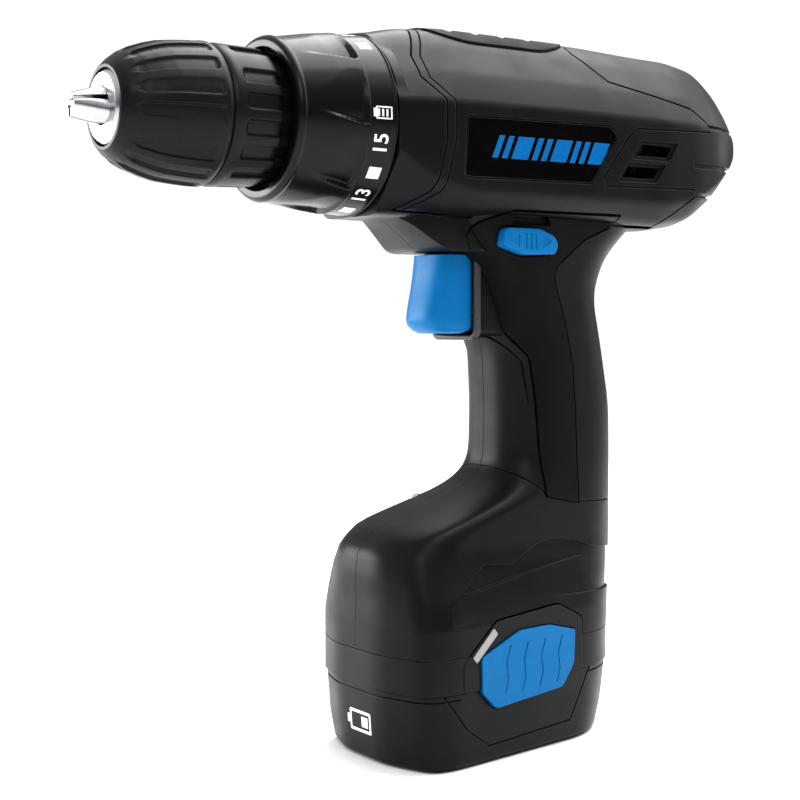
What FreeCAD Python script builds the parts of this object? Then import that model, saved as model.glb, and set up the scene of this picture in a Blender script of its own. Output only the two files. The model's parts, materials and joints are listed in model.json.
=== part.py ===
import FreeCAD, Part
import math
import os
import Sketcher
from FreeCAD import Placement, Rotation, Vector

# Cordless drill, millimetres.  +Z is up, the chuck points along -X, and the drill's left side is -Y.
# The origin lies on the battery's flat base, on the handle's mid-plane, under the drive axis.

doc = FreeCAD.newDocument("cordless_drill")
sheet = doc.addObject("Spreadsheet::Sheet", "dims")

DIMENSIONS = {
    # shells
    "axis_height": 198.0, "wall": 2.5, "skin": 1.5, "pad_rise": 0.6, "gear_case_bore": 26.0,
    # chuck
    "nose_x": -130.0, "nose_radius": 10.6, "bit_bore": 5.2, "chuck_rear_x": -72.0, "socket_radius": 6.4,
    "socket_x": -90.0, "bit_stop_x": -95.0, "chuck_radius": 17.5, "sleeve_radius": 21.0,
    "sleeve_bore": 19.0, "sleeve_seam_x": -98.4, "sleeve_rear_x": -74.0, "nut_front_x": -113.0,
    "nut_rear_x": -105.0, "jaw_tip_x": -139.5, "jaw_radius": 3.75, "jaw_length": 35.0,
    "jaw_angle": 16.0, "jaw_offset": -0.6, "jaw_clearance": 0.08, "grip_radius": 1.5,
    "grip_length": 17.5, "jaw_gap": 0.9,
    # torque collar and clutch
    "collar_front_x": -80.0, "collar_rear_x": -48.3, "collar_rear_radius": 28.0, "collar_bore": 24.8,
    "collar_mouth": 21.3, "nose_tube_radius": 17.0, "nose_tube_x": -70.5, "clutch_ring_x": -66.0,
    "clutch_ring_width": 3.4, "clutch_washer_x": -48.6, "clutch_pin_radius": 2.3,
    "clutch_pin_circle": 19.6, "clutch_wire": 0.9, "clutch_turns": 3.0, "key_width": 4.2,
    # gearbox
    "case_front_x": -46.5, "case_wall": 6.0, "case_rear_x": -3.1, "case_bore": 22.4, "gear_module": 0.8,
    "sun_teeth": 12, "planet_teeth": 18, "ring_teeth": 48, "backlash": 0.14, "pin_radius": 1.5,
    "carrier_radius": 17.0, "carrier_2_x": -40.0, "carrier_2_width": 6.0, "carrier_1_x": -24.0,
    "carrier_1_width": 5.0, "planet_width": 8.6, "ring_2_x": -40.4, "ring_split_x": -24.2,
    "ring_1_end_x": -7.4, "plate_x": -7.2, "plate_width": 4.0,
    # spindle and its bearing
    "spindle_seat": 6.0, "bearing_x": -62.0, "bearing_width": 6.0, "bearing_radius": 12.0,
    "bearing_ball": 1.35, "bearing_pitch": 9.0,
    # motor
    "motor_x": -3.0, "motor_length": 57.0, "motor_radius": 18.0, "shaft_radius": 1.587,
    "shaft_end_x": 70.5, "fan_x": 62.5, "fan_radius": 19.0,
    # trigger, switch and selector
    "trigger_half": 10.0, "switch_x": 3.0, "switch_length": 29.0,
    "switch_half": 10.5, "switch_z": 133.7, "switch_height": 23.3, "selector_half": 23.6,
    # battery
    "battery_split_z": 24.0, "battery_top_z": 35.0, "cell_radius": 9.2, "cell_length": 65.0,
    "button_thickness": 4.0, "tower_half": 12.0, "tower_top_z": 79.0,
    # fasteners
    "screw_radius": 1.5, "screw_head_radius": 2.8, "boss_radius": 3.6,
}

# Cross-sections of the barrel, front to back: station x, half width, height above and depth below the
# drive axis, then how square its lower corners are.
BARREL = [
    (-48.0, 28.0, 28.0, 28.0, 0.35, 0.66, 0.80),
    (-36.0, 28.3, 30.7, 28.2, 0.62, 0.76, 0.90),
    (-20.0, 28.5, 31.8, 28.4, 0.74, 0.80, 0.93),
    (35.0, 28.5, 31.6, 28.8, 0.74, 0.80, 0.93),
    (60.0, 27.7, 30.5, 29.8, 0.72, 0.80, 0.93),
    (76.0, 26.0, 30.2, 27.5, 0.68, 0.80, 0.92),
    (88.0, 23.5, 28.2, 20.3, 0.62, 0.78, 0.90),
    (98.0, 18.8, 22.0, 11.5, 0.55, 0.76, 0.90),
    (107.0, 11.5, 12.5, 4.2, 0.50, 0.74, 0.90),
    (112.0, 4.5, 4.5, 1.8, 0.50, 0.74, 0.90),
]
BARREL_FIELDS = ("x", "half", "top", "low", "corner", "edge_y", "edge_z")

# Cross-sections of the foot and handle, bottom to top: height, front x, half width of the front flat,
# depth of the front corner, half width, depth of the rear corner, half width there, rear x, and half
# width of the rear flat.
GRIP = [
    (35.2, -46.0, 12.0, 6.0, 31.5, 13.0, 20.5, 51.0, 9.0),
    (44.0, -46.0, 12.0, 6.0, 31.5, 13.0, 20.5, 51.3, 9.0),
    (52.5, -45.6, 11.5, 6.0, 28.5, 12.0, 18.8, 51.7, 9.0),
    (66.0, -45.6, 11.0, 6.0, 27.5, 12.0, 18.0, 52.2, 9.0),
    (74.0, -38.0, 9.0, 7.0, 26.0, 12.0, 18.0, 52.3, 9.0),
    (80.0, -12.0, 9.0, 7.0, 23.0, 12.0, 17.5, 52.3, 9.0),
    (86.0, 1.0, 9.0, 6.0, 20.5, 11.5, 17.0, 52.3, 9.0),
    (92.0, 4.0, 8.0, 6.0, 18.5, 11.0, 17.0, 52.3, 9.0),
    (110.0, 4.4, 8.0, 6.0, 18.0, 11.0, 16.5, 52.0, 9.0),
    (130.0, 3.4, 8.0, 6.0, 18.0, 10.0, 16.5, 48.6, 8.0),
    (146.0, -3.0, 8.0, 6.0, 19.0, 10.0, 17.0, 45.0, 8.0),
    (160.0, -6.0, 9.0, 6.0, 20.5, 10.0, 18.0, 50.0, 8.0),
    (173.0, -8.0, 9.0, 6.0, 22.0, 12.0, 20.0, 64.0, 9.0),
]
GRIP_FIELDS = ("z", "front", "front_flat", "corner", "half", "rear_depth", "rear_half", "rear", "rear_flat")

# Cross-sections of the battery's two cases, as the foot's.
BATTERY = [
    (0.0, -43.0, 11.0, 6.0, 29.5, 13.0, 18.5, 46.8, 8.0),
    (10.0, -44.6, 11.5, 6.0, 30.6, 13.0, 19.3, 49.0, 8.5),
    (24.0, -45.5, 12.0, 6.0, 31.0, 13.0, 20.0, 50.5, 9.0),
]


def fill_sheet():
    rows = dict(DIMENSIONS)
    tables = [("barrel", BARREL, BARREL_FIELDS), ("grip", GRIP, GRIP_FIELDS), ("pack", BATTERY, GRIP_FIELDS)]
    for prefix, table, fields in tables:
        for number, station in enumerate(table):
            for field, size in zip(fields, station):
                rows[f"{prefix}_{number}_{field}"] = size
    for row, (alias, size) in enumerate(rows.items(), start=1):
        sheet.set(f"A{row}", alias)
        sheet.set(f"B{row}", str(size))
        sheet.setAlias(f"B{row}", alias)
    doc.recompute()


def amount(expression):
    """The number that a spreadsheet expression comes to."""
    return float(sheet.evalExpression(str(expression)))


def size(alias):
    return amount("dims." + alias)


# ---------------------------------------------------------------- sketches and features

def new_body(label, on_axis=False):
    body = doc.addObject("PartDesign::Body", label)
    body.Label = label
    if on_axis:
        body.setExpression("Placement.Base.z", "dims.axis_height")
    return body


def sketch_in(body, name, role, offset=None):
    plane = next(item for item in body.Origin.OriginFeatures if item.Role == role)
    sketch = body.newObject("Sketcher::SketchObject", name)
    sketch.AttachmentSupport = [(plane, "")]
    sketch.MapMode = "FlatFace"
    if offset is not None:
        sketch.setExpression("AttachmentOffset.Base.z", offset)
    return sketch


def outline(sketch, points):
    """Close a polygon through points, each a pair of spreadsheet expressions."""
    corners = [Vector(amount(a), amount(b), 0) for a, b in points]
    count = len(corners)
    for index in range(count):
        sketch.addGeometry(Part.LineSegment(corners[index], corners[(index + 1) % count]), False)
    for index in range(count):
        sketch.addConstraint(Sketcher.Constraint("Coincident", index, 2, (index + 1) % count, 1))
    for index, (a, b) in enumerate(points):
        corner = corners[index]
        for kind, expression, place in (("DistanceX", a, corner.x), ("DistanceY", b, corner.y)):
            number = sketch.addConstraint(Sketcher.Constraint(kind, -1, 1, index, 1, place))
            sketch.setExpression(f"Constraints[{number}]", str(expression))


def turned(label, profile, on_axis=True):
    """A body of revolution about the drive axis; profile points are (x, radius)."""
    body = new_body(label, on_axis)
    sketch = sketch_in(body, label + "_profile", "XZ_Plane")
    outline(sketch, profile)
    spin = body.newObject("PartDesign::Revolution", label + "_turn")
    spin.Profile = sketch
    spin.ReferenceAxis = (sketch, ["H_Axis"])
    spin.Angle = 360
    return body


def ring(label, x_start, x_end, inner, outer):
    return turned(label, [(x_start, inner), (x_start, outer), (x_end, outer), (x_end, inner)])


def loft(label, role, sections):
    """A ruled loft through (offset, points) sections parallel to one origin plane."""
    body = new_body(label)
    sketches = []
    for number, (offset, points) in enumerate(sections):
        sketch = sketch_in(body, f"{label}_section_{number}", role, offset)
        outline(sketch, points)
        sketches.append(sketch)
    feature = body.newObject("PartDesign::AdditiveLoft", label + "_loft")
    feature.Profile = sketches[0]
    feature.Sections = sketches[1:]
    feature.Ruled = True
    return body


def prism(label, points, direction, low, high):
    """Extrude a polygon: drawn in x, z along Y; in x, y along Z; or in y, z along X."""
    sketch = doc.addObject("Sketcher::SketchObject", label + "_profile")
    outline(sketch, points)
    turn = {"X": Rotation(Vector(1, 1, 1), 120), "Y": Rotation(Vector(1, 0, 0), 90),
            "Z": Rotation()}[direction]
    sketch.Placement = Placement(Vector(), turn)
    axis = direction.lower()
    sketch.setExpression(f"Placement.Base.{axis}", str(low))
    solid = doc.addObject("Part::Extrusion", label)
    solid.Label = label
    solid.Base = sketch
    solid.DirMode = "Custom"
    solid.Dir = {"X": Vector(1, 0, 0), "Y": Vector(0, 1, 0), "Z": Vector(0, 0, 1)}[direction]
    solid.setExpression("LengthFwd", f"({high}) - ({low})")
    solid.Solid = True
    return solid


def box(label, x0, x1, y0, y1, z0, z1):
    solid = doc.addObject("Part::Box", label)
    solid.Label = label
    for field, low, high in (("Length", x0, x1), ("Width", y0, y1), ("Height", z0, z1)):
        solid.setExpression(field, f"({high}) - ({low})")
    for field, low in (("x", x0), ("y", y0), ("z", z0)):
        solid.setExpression("Placement.Base." + field, str(low))
    return solid


def cylinder(label, radius, start, end, direction, first, second):
    """A cylinder along X, Y or Z from start to end; first and second place its axis."""
    solid = doc.addObject("Part::Cylinder", label)
    solid.Label = label
    turn = {"X": Rotation(Vector(0, 1, 0), 90), "Y": Rotation(Vector(1, 0, 0), -90),
            "Z": Rotation()}[direction]
    solid.Placement = Placement(Vector(), turn)
    solid.setExpression("Radius", str(radius))
    solid.setExpression("Height", f"({end}) - ({start})")
    fields = {"X": "xyz", "Y": "yxz", "Z": "zxy"}[direction]
    for field, expression in zip(fields, (start, first, second)):
        solid.setExpression("Placement.Base." + field, str(expression))
    return solid


def combine(kind, label, shapes):
    feature = doc.addObject(kind, label)
    feature.Label = label
    feature.Shapes = shapes
    return feature


def fuse(label, shapes):
    return combine("Part::MultiFuse", label, shapes)


def common(label, shapes):
    return combine("Part::MultiCommon", label, shapes)


def group(label, members):
    """Separate solids that share one node."""
    feature = doc.addObject("Part::Compound", label)
    feature.Label = label
    feature.Links = members
    return feature


def cut(label, base, tool):
    feature = doc.addObject("Part::Cut", label)
    feature.Label = label
    feature.Base = base
    feature.Tool = tool
    return feature


def shaped(label, shape, on_axis=False):
    """A solid, or a group of them, that Part's own functions made from the sheet's sizes."""
    feature = doc.addObject("Part::Feature", label)
    feature.Label = label
    feature.Shape = Part.makeCompound([shape])
    if on_axis:
        feature.setExpression("Placement.Base.z", "dims.axis_height")
    return feature


def around_axis(shape, count, start=0.0):
    """Copies of a shape, evenly spaced about the X axis."""
    copies = []
    for number in range(count):
        copy = shape.copy()
        copy.rotate(Vector(), Vector(1, 0, 0), start + 360.0 * number / count)
        copies.append(copy)
    return copies


def x_cylinder(radius, x0, x1, y=0.0, z=0.0):
    return Part.makeCylinder(radius, x1 - x0, Vector(x0, y, z), Vector(1, 0, 0))


# ---------------------------------------------------------------- sections of the outer shells

def both_sides(points):
    """A closed outline from its half at positive y, mirrored."""
    mirrored = [(a, f"-({b})") for a, b in reversed(points)]
    return points + mirrored


def barrel_section(number, inset="0"):
    name = f"dims.barrel_{number}_"
    inset = f"({inset})"
    half = f"({name}half - {inset})"
    top = f"({name}top - {inset})"
    low = f"({name}low - {inset})"
    upright = [
        (f"0.35 * {half}", f"0.97 * {top}"),
        (f"0.56 * {half}", f"0.80 * {top}"),
        (f"0.81 * {half}", f"0.50 * {top}"),
        (half, f"0.19 * {top}"),
        (half, f"-{name}corner * {low}"),
        (f"{name}edge_y * {half}", f"-{name}edge_z * {low}"),
        (f"0.5 * {half}", f"-{low}"),
    ]
    other_side = [(f"-({y})", z) for y, z in reversed(upright)]
    points = [("0", top)] + upright + other_side
    return name + "x", [(y, f"dims.axis_height + {z}") for y, z in points]


def plan_section(prefix, number, inset="0", height=None):
    name = f"dims.{prefix}_{number}_"
    inset = f"({inset})"
    points = [
        (f"{name}front + {inset}", f"{name}front_flat - {inset} * 0.4"),
        (f"{name}front + {name}corner + {inset}", f"{name}half - 1.5 - {inset}"),
        (f"{name}front + {name}corner + 9", f"{name}half - {inset}"),
        (f"{name}rear - {name}rear_depth - {inset}", f"{name}rear_half - {inset}"),
        (f"{name}rear - {inset}", f"{name}rear_flat - {inset} * 0.4"),
    ]
    return height or name + "z", both_sides(points)


GEAR_CASE_SIDE = [(-52, 235), (-30, 235), (-32, 229), (-38, 218), (-37.7, 211), (-31, 204.6), (-31, 192),
                  (-33, 184), (-35, 177), (-43, 171.5), (-43, 165), (-52, 165)]
REAR_CAP_SIDE = [(27, 236), (29.3, 225), (38.8, 216), (73.7, 209.6), (80, 205.5), (82, 202), (45.4, 200.6),
                 (41.6, 197.6), (30.6, 183.6), (32.3, 181.3), (72.8, 182.2), (74.4, 180.7), (60, 169.9),
                 (60, 164), (116, 164), (116, 236)]
CHIN_SIDE = [(-43, 175), (-43, 172.5), (-34, 168.5), (-22.5, 159.8), (-2, 159.8), (0, 175)]
SOFT_GRIP_SIDE = [(-15.5, 165), (-13.6, 159), (-5.7, 147), (5, 133), (10.5, 126), (12.6, 112), (14.4, 81),
                  (29.2, 78), (28.5, 110), (27.2, 124), (23.8, 137), (18, 152), (19.5, 156), (31, 165),
                  (41, 169), (42, 172.5), (-2, 172.5), (-12, 169)]
LABEL_SIDE = [(-23, 199.7), (33, 200.3), (36.5, 197.5), (25.6, 182.2), (-24.2, 182)]
TOP_PAD_PLAN = [(-27, 9), (-22, 13), (-14, 15), (17, 15), (26, 12), (30, 8)]
BUTTON_SIDE = [(-19, 34), (-2, 40.5), (12, 40.5), (24, 37.5), (23.5, 26.5), (18, 19.5), (-12.6, 17.4),
               (-18.6, 23)]
CELL_PLACES = ((-24, -9.5), (-24, 9.5), (-8, 0))
EAR_SIDE = [(-26, 24), (-26, 33), (-12, 44.5), (16.5, 46.5), (28, 41), (28, 24)]
TRIGGER_SIDE = [(-13, 159), (-20, 158.5), (-20.7, 151), (-22.7, 143.5), (-24, 137.5), (-21.5, 134),
                (-10, 134.3), (-7.6, 137), (-7.6, 156)]
SELECTOR_SIDE = [(-5.4, 166), (-4, 167.3), (9, 167.3), (15, 165), (16.5, 162.5), (15.5, 159.2), (3, 158.8),
                 (-5.4, 161.5)]


def grown(points, margin):
    """The outline moved out from its centre by a margin in each direction."""
    middle_x = sum(x for x, _ in points) / len(points)
    middle_y = sum(y for _, y in points) / len(points)
    return [(x + math.copysign(margin, x - middle_x), y + math.copysign(margin, y - middle_y))
            for x, y in points]


# ---------------------------------------------------------------- housing

def outer_forms():
    barrel = loft("barrel_form", "YZ_Plane", [barrel_section(n) for n in range(len(BARREL))])
    grip = loft("grip_form", "XY_Plane", [plan_section("grip", n) for n in range(len(GRIP))])
    chin = prism("chin_form", CHIN_SIDE, "Y", "-11.5", "11.5")
    return barrel, grip, chin


def skin_piece(label, outer, inner, outline_solid):
    """A plate of even thickness that lies flush in the outside of a form."""
    skin = cut(label + "_skin", outer, inner)
    return common(label, [skin, outline_solid])


def housing(barrel, grip, chin):
    gear_zone = prism("gear_case_zone", GEAR_CASE_SIDE, "Y", "-40", "40")
    cap_zone = prism("rear_cap_zone", REAR_CAP_SIDE, "Y", "-40", "40")

    rear_inner = loft("barrel_inner", "YZ_Plane",
                      [barrel_section(n, "dims.wall") for n in range(3, len(BARREL) - 1)])
    bore = cylinder("barrel_bore", "dims.gear_case_bore", "-50", "60", "X", "0", "dims.axis_height")
    sections = [plan_section("grip", 0, "dims.wall", "dims.battery_top_z - 5")]
    sections += [plan_section("grip", n, "dims.wall") for n in range(len(GRIP))]
    grip_inner = loft("grip_inner", "XY_Plane", sections)
    cavity = fuse("housing_cavity", [rear_inner, bore, grip_inner])

    trigger_mouth = box("trigger_mouth", "-45", "dims.switch_x + 5", "-dims.trigger_half - 0.5",
                        "dims.trigger_half + 0.5", "133.4", "159.6")
    selector_mouth = prism("selector_mouth", grown(SELECTOR_SIDE, 0.5), "Y", "-40", "40")
    foot_notch = prism("foot_notch", grown(EAR_SIDE, 0.5), "Y", "-45", "45")

    side_panels = {}
    barrel_core = loft("barrel_core", "YZ_Plane",
                       [barrel_section(n, "dims.skin") for n in range(len(BARREL))])
    grip_core = loft("grip_core", "XY_Plane",
                     [plan_section("grip", n, "dims.skin") for n in range(len(GRIP))])
    for side, low, high in (("left", "-45", "-5"), ("right", "5", "45")):
        label_zone = prism(side + "_label_zone", LABEL_SIDE, "Y", low, high)
        side_panels[side + "_label"] = skin_piece(side + "_label", barrel, barrel_core, label_zone)
        outer = {"left": ("-45", "-12.5"), "right": ("12.5", "45")}[side]
        soft_zone = prism(side + "_soft_zone", SOFT_GRIP_SIDE, "Y", *outer)
        grip_skin = cut(side + "_soft_skin", grip, grip_core)
        soft = common(side + "_soft_solid", [grip_skin, soft_zone])
        below = cut(side + "_soft_below", soft, barrel)
        side_panels[side + "_soft_grip"] = cut(side + "_soft_grip", below, selector_mouth)
    pad_zone = prism("top_pad_zone", both_sides(TOP_PAD_PLAN), "Z", "dims.axis_height + 15", "240")
    proud = loft("barrel_proud", "YZ_Plane", [barrel_section(n, "-dims.pad_rise") for n in range(len(BARREL))])
    side_panels["top_grip_pad"] = skin_piece("top_grip_pad", proud, barrel_core, pad_zone)

    group("label_plates", [side_panels["left_label"], side_panels["right_label"]])

    solid = fuse("housing_solid", [barrel, grip, chin])
    hollow = cut("housing_hollow", solid, cavity)
    screws, bosses = housing_screws()
    posts = common("housing_posts", [fuse("boss_posts", bosses), grip])
    holes = [trigger_mouth, selector_mouth, foot_notch, gear_zone, cap_zone, screws]
    holes += list(side_panels.values())
    shell = cut("housing_shell", fuse("housing_posted", [hollow, posts]), fuse("housing_openings", holes))
    halves = {
        "left_housing": box("left_half", "-60", "120", "-45", "0", "20", "245"),
        "right_housing": box("right_half", "-60", "120", "0", "45", "20", "245"),
    }
    for label, half in halves.items():
        common(label, [shell, half])

    cap_solid = common("rear_cap_solid", [barrel, cap_zone])
    vents = []
    for number, (x, z) in enumerate(((45.5, 192.0), (39.5, 184.6))):
        slot = [(x, z), (x + 14.5, z), (x + 17.0, z + 3.8), (x + 2.5, z + 3.8)]
        vents.append(prism(f"vent_{number}", slot, "Y", "-40", "40"))
    cut("rear_cap", cap_solid, fuse("rear_cap_openings", [rear_inner, bore, pad_zone] + vents))
    return gear_zone


def housing_screws():
    """Five self-tapping screws enter from the right side; each runs in a post of the left shell."""
    places = ((11, 104, 11.2), (43, 104, 9.7), (40, 128, 10.2), (-10, 77.5, 16.2), (46.6, 64, 7.5))
    screws = []
    bosses = []
    for number, (x, z, reach) in enumerate(places):
        head = cylinder(f"screw_head_{number}", "dims.screw_head_radius", str(reach), str(reach + 2.2),
                        "Y", x, z)
        shank = cylinder(f"screw_shank_{number}", "dims.screw_radius", str(-reach + 4), str(reach), "Y", x, z)
        screws.append(fuse(f"screw_{number}", [head, shank]))
        bosses.append(cylinder(f"boss_{number}", "dims.boss_radius", "-40", str(reach), "Y", x, z))
        access = cylinder(f"screw_access_{number}", "dims.screw_head_radius + 0.3", str(reach), "40",
                          "Y", x, z)
        screws.append(access)
    group("housing_screws", screws[0::2])
    return fuse("screw_tools", screws), bosses


# ---------------------------------------------------------------- chuck

def jaw_line(x):
    """Radius of a jaw's centre line at a station."""
    return size("jaw_offset") + (x - size("jaw_tip_x")) * math.tan(math.radians(size("jaw_angle")))


def jaw_rod(radius, x0, x1):
    """A cylinder along the sloping guideway in the plane above the axis."""
    slope = math.radians(size("jaw_angle"))
    start = Vector(x0, 0, jaw_line(x0))
    direction = Vector(math.cos(slope), 0, math.sin(slope))
    return Part.makeCylinder(radius, (x1 - x0) / math.cos(slope), start, direction)


def chuck():
    blank = turned("chuck_blank", [
        ("dims.nose_x", "dims.bit_bore"), ("dims.nose_x", "dims.nose_radius - 1"),
        ("dims.nose_x + 1", "dims.nose_radius"), ("dims.nose_x + 4", "dims.nose_radius"),
        ("dims.nose_x + 10", "15"), ("dims.nut_front_x - 0.3", "15"), ("dims.nut_front_x - 0.3", "10.7"),
        ("dims.nut_rear_x + 0.3", "10.7"), ("dims.nut_rear_x + 0.3", "dims.chuck_radius"),
        ("dims.chuck_rear_x - 6", "dims.chuck_radius"), ("dims.chuck_rear_x - 4", "15"),
        ("dims.chuck_rear_x", "15"), ("dims.chuck_rear_x", "dims.socket_radius"),
        ("dims.socket_x", "dims.socket_radius"), ("dims.socket_x", "2.65"), ("dims.bit_stop_x", "2.65"),
        ("dims.bit_stop_x", "dims.bit_bore")])
    guide = jaw_rod(size("jaw_radius") + size("jaw_clearance"), size("jaw_tip_x"), -89.0)
    guides = shaped("jaw_guides", Part.makeCompound(around_axis(guide, 3)), on_axis=True)
    cut("chuck_body", blank, guides)

    rod = jaw_rod(size("jaw_radius"), size("jaw_tip_x") - 4, size("jaw_tip_x") + size("jaw_length"))
    reach = 30.0
    apex = size("jaw_gap")
    spread = math.radians(60)
    sector = Part.makePolygon([
        Vector(-150, 0, apex), Vector(-150, reach * math.sin(spread), apex + reach * math.cos(spread)),
        Vector(-150, 0, reach + apex),
        Vector(-150, -reach * math.sin(spread), apex + reach * math.cos(spread)),
        Vector(-150, 0, apex)])
    wedge = Part.Face(sector).extrude(Vector(60, 0, 0))
    front = Part.makeBox(60, 40, 40, Vector(size("jaw_tip_x"), -20, -10))
    bit_hole = x_cylinder(size("grip_radius"), -150, -90)
    relief = x_cylinder(2 * size("grip_radius"), size("jaw_tip_x") + size("grip_length"), -90)
    jaw = rod.common(wedge).common(front).cut(bit_hole).cut(relief)
    for number, copy in enumerate(around_axis(jaw, 3), start=1):
        shaped(f"chuck_jaw_{number}", copy, on_axis=True)

    turned("jaw_nut", [("dims.nut_front_x", "11.1"), ("dims.nut_front_x", "dims.sleeve_bore - 0.05"),
                       ("dims.nut_rear_x", "dims.sleeve_bore - 0.05"), ("dims.nut_rear_x", "13.4")])
    front_sleeve = turned("front_sleeve_blank", [
        ("dims.nose_x + 0.6", "dims.nose_radius + 0.4"), ("dims.nose_x + 0.6", "12.0"),
        ("dims.nose_x + 3.4", "15.6"), ("dims.nose_x + 7", "18.2"), ("dims.nose_x + 12", "19.9"),
        ("dims.nose_x + 18", "20.7"), ("dims.nose_x + 26", "dims.sleeve_radius"),
        ("dims.sleeve_seam_x - 1", "dims.sleeve_radius"), ("dims.sleeve_seam_x - 0.2", "20.4"),
        ("dims.sleeve_seam_x - 0.2", "dims.sleeve_bore"), ("dims.nut_front_x", "dims.sleeve_bore"),
        ("dims.nut_front_x - 0.6", "15.6"), ("dims.nose_x + 10", "15.6"),
        ("dims.nose_x + 4", "dims.nose_radius + 0.4")])
    flute = x_cylinder(1.5, -116.5, -102.5, 0, size("sleeve_radius") + 0.7)
    flutes = shaped("front_flutes", Part.makeCompound(around_axis(flute, 18)), on_axis=True)
    cut("front_sleeve", front_sleeve, flutes)
    rear_sleeve = turned("rear_sleeve_blank", [
        ("dims.sleeve_seam_x + 0.2", "dims.chuck_radius + 0.05"), ("dims.sleeve_seam_x + 0.2", "20.2"),
        ("dims.sleeve_seam_x + 1.2", "20.7"), ("dims.sleeve_seam_x + 14", "20.5"),
        ("dims.sleeve_rear_x", "19.2"), ("dims.sleeve_rear_x", "dims.chuck_radius + 0.05")])
    flute = x_cylinder(1.3, -94.5, -81, 0, size("sleeve_radius") + 0.4)
    flutes = shaped("rear_flutes", Part.makeCompound(around_axis(flute, 18, 10.0)), on_axis=True)
    cut("rear_sleeve", rear_sleeve, flutes)
    turned("chuck_screw", [("dims.bit_stop_x - 3.2", "0"), ("dims.bit_stop_x - 3.2", "4.3"),
                           ("dims.bit_stop_x - 0.05", "4.3"), ("dims.bit_stop_x - 0.05", "2.55"),
                           ("-80", "2.55"), ("-80", "0")])


# ---------------------------------------------------------------- torque collar and clutch

def torque_clutch():
    blank = turned("collar_blank", [
        ("dims.collar_front_x", "dims.collar_mouth"), ("dims.collar_front_x", "23.0"),
        ("dims.collar_front_x + 1.2", "24.6"), ("dims.collar_front_x + 14", "26.6"),
        ("dims.collar_front_x + 25", "27.5"), ("dims.collar_rear_x - 1", "dims.collar_rear_radius"),
        ("dims.collar_rear_x", "dims.collar_rear_radius - 0.4"), ("dims.collar_rear_x", "dims.collar_bore"),
        ("-69.2", "dims.collar_bore"), ("-69.2", "dims.nose_tube_radius + 0.1"),
        ("-73.2", "dims.nose_tube_radius + 0.1"), ("-73.2", "dims.collar_mouth")])
    half = size("key_width") / 2
    key = Part.makeBox(19.0, 2 * half, 2.4, Vector(-69.2, -half, 22.8))
    keys = shaped("collar_keys", Part.makeCompound(around_axis(key, 3)), on_axis=True)
    keyed = fuse("collar_keyed", [blank, keys])
    groove = x_cylinder(1.0, -76.5, -53.5, 0, 0)
    tilt = math.degrees(math.atan2(1.2, 11.0))
    groove.rotate(Vector(-53.5, 0, 0), Vector(0, 1, 0), -tilt / 2)
    groove.translate(Vector(0, 0, size("collar_rear_radius") + 0.35))
    grooves = shaped("collar_grooves", Part.makeCompound(around_axis(groove, 24)), on_axis=True)
    cut("torque_collar", keyed, grooves)

    start = "dims.clutch_ring_x"
    end = "dims.clutch_ring_x + dims.clutch_ring_width"
    disc = ring("clutch_ring_blank", start, end, "dims.nose_tube_radius + 0.1", "dims.collar_bore - 0.4")
    notch = Part.makeBox(8, 2 * half + 0.8, 6, Vector(size("clutch_ring_x") - 2, -half - 0.4, 22.4))
    notches = shaped("clutch_ring_notches", Part.makeCompound(around_axis(notch, 3)), on_axis=True)
    cut("clutch_ring", disc, notches)
    ring("clutch_washer", "dims.clutch_washer_x", "dims.case_front_x - 0.75",
         "dims.nose_tube_radius + 0.1", "22.4")
    wire = size("clutch_wire")
    low = size("clutch_ring_x") + size("clutch_ring_width") + wire + 0.05
    high = size("clutch_washer_x") - wire - 0.05
    spring = coil(high - low, size("clutch_turns"), size("clutch_pin_circle"), wire)
    spring.rotate(Vector(), Vector(0, 1, 0), 90)
    spring.translate(Vector(low, 0, 0))
    shaped("clutch_spring", spring, on_axis=True)
    pin = x_cylinder(size("clutch_pin_radius"), size("case_front_x") - 0.7, size("ring_2_x") - 0.05, 0,
                     size("clutch_pin_circle"))
    shaped("clutch_pins", Part.makeCompound(around_axis(pin, 6, 30.0)), on_axis=True)


def coil(height, turns, radius, wire):
    """A round-wire helix about Z, from z = 0 to its height."""
    path = Part.makeHelix(height / turns, height, radius)
    section = Part.Wire(Part.makeCircle(wire, Vector(radius, 0, 0), Vector(0, 1, 0)))
    sweep = Part.BRepOffsetAPI.MakePipeShell(Part.Wire(path))
    sweep.setFrenetMode(True)
    sweep.add(section)
    sweep.build()
    sweep.makeSolid()
    return sweep.shape()


# ---------------------------------------------------------------- gears

def involute_point(base_radius, roll):
    angle = roll - math.atan(roll)
    return base_radius * math.hypot(1, roll), angle


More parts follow.
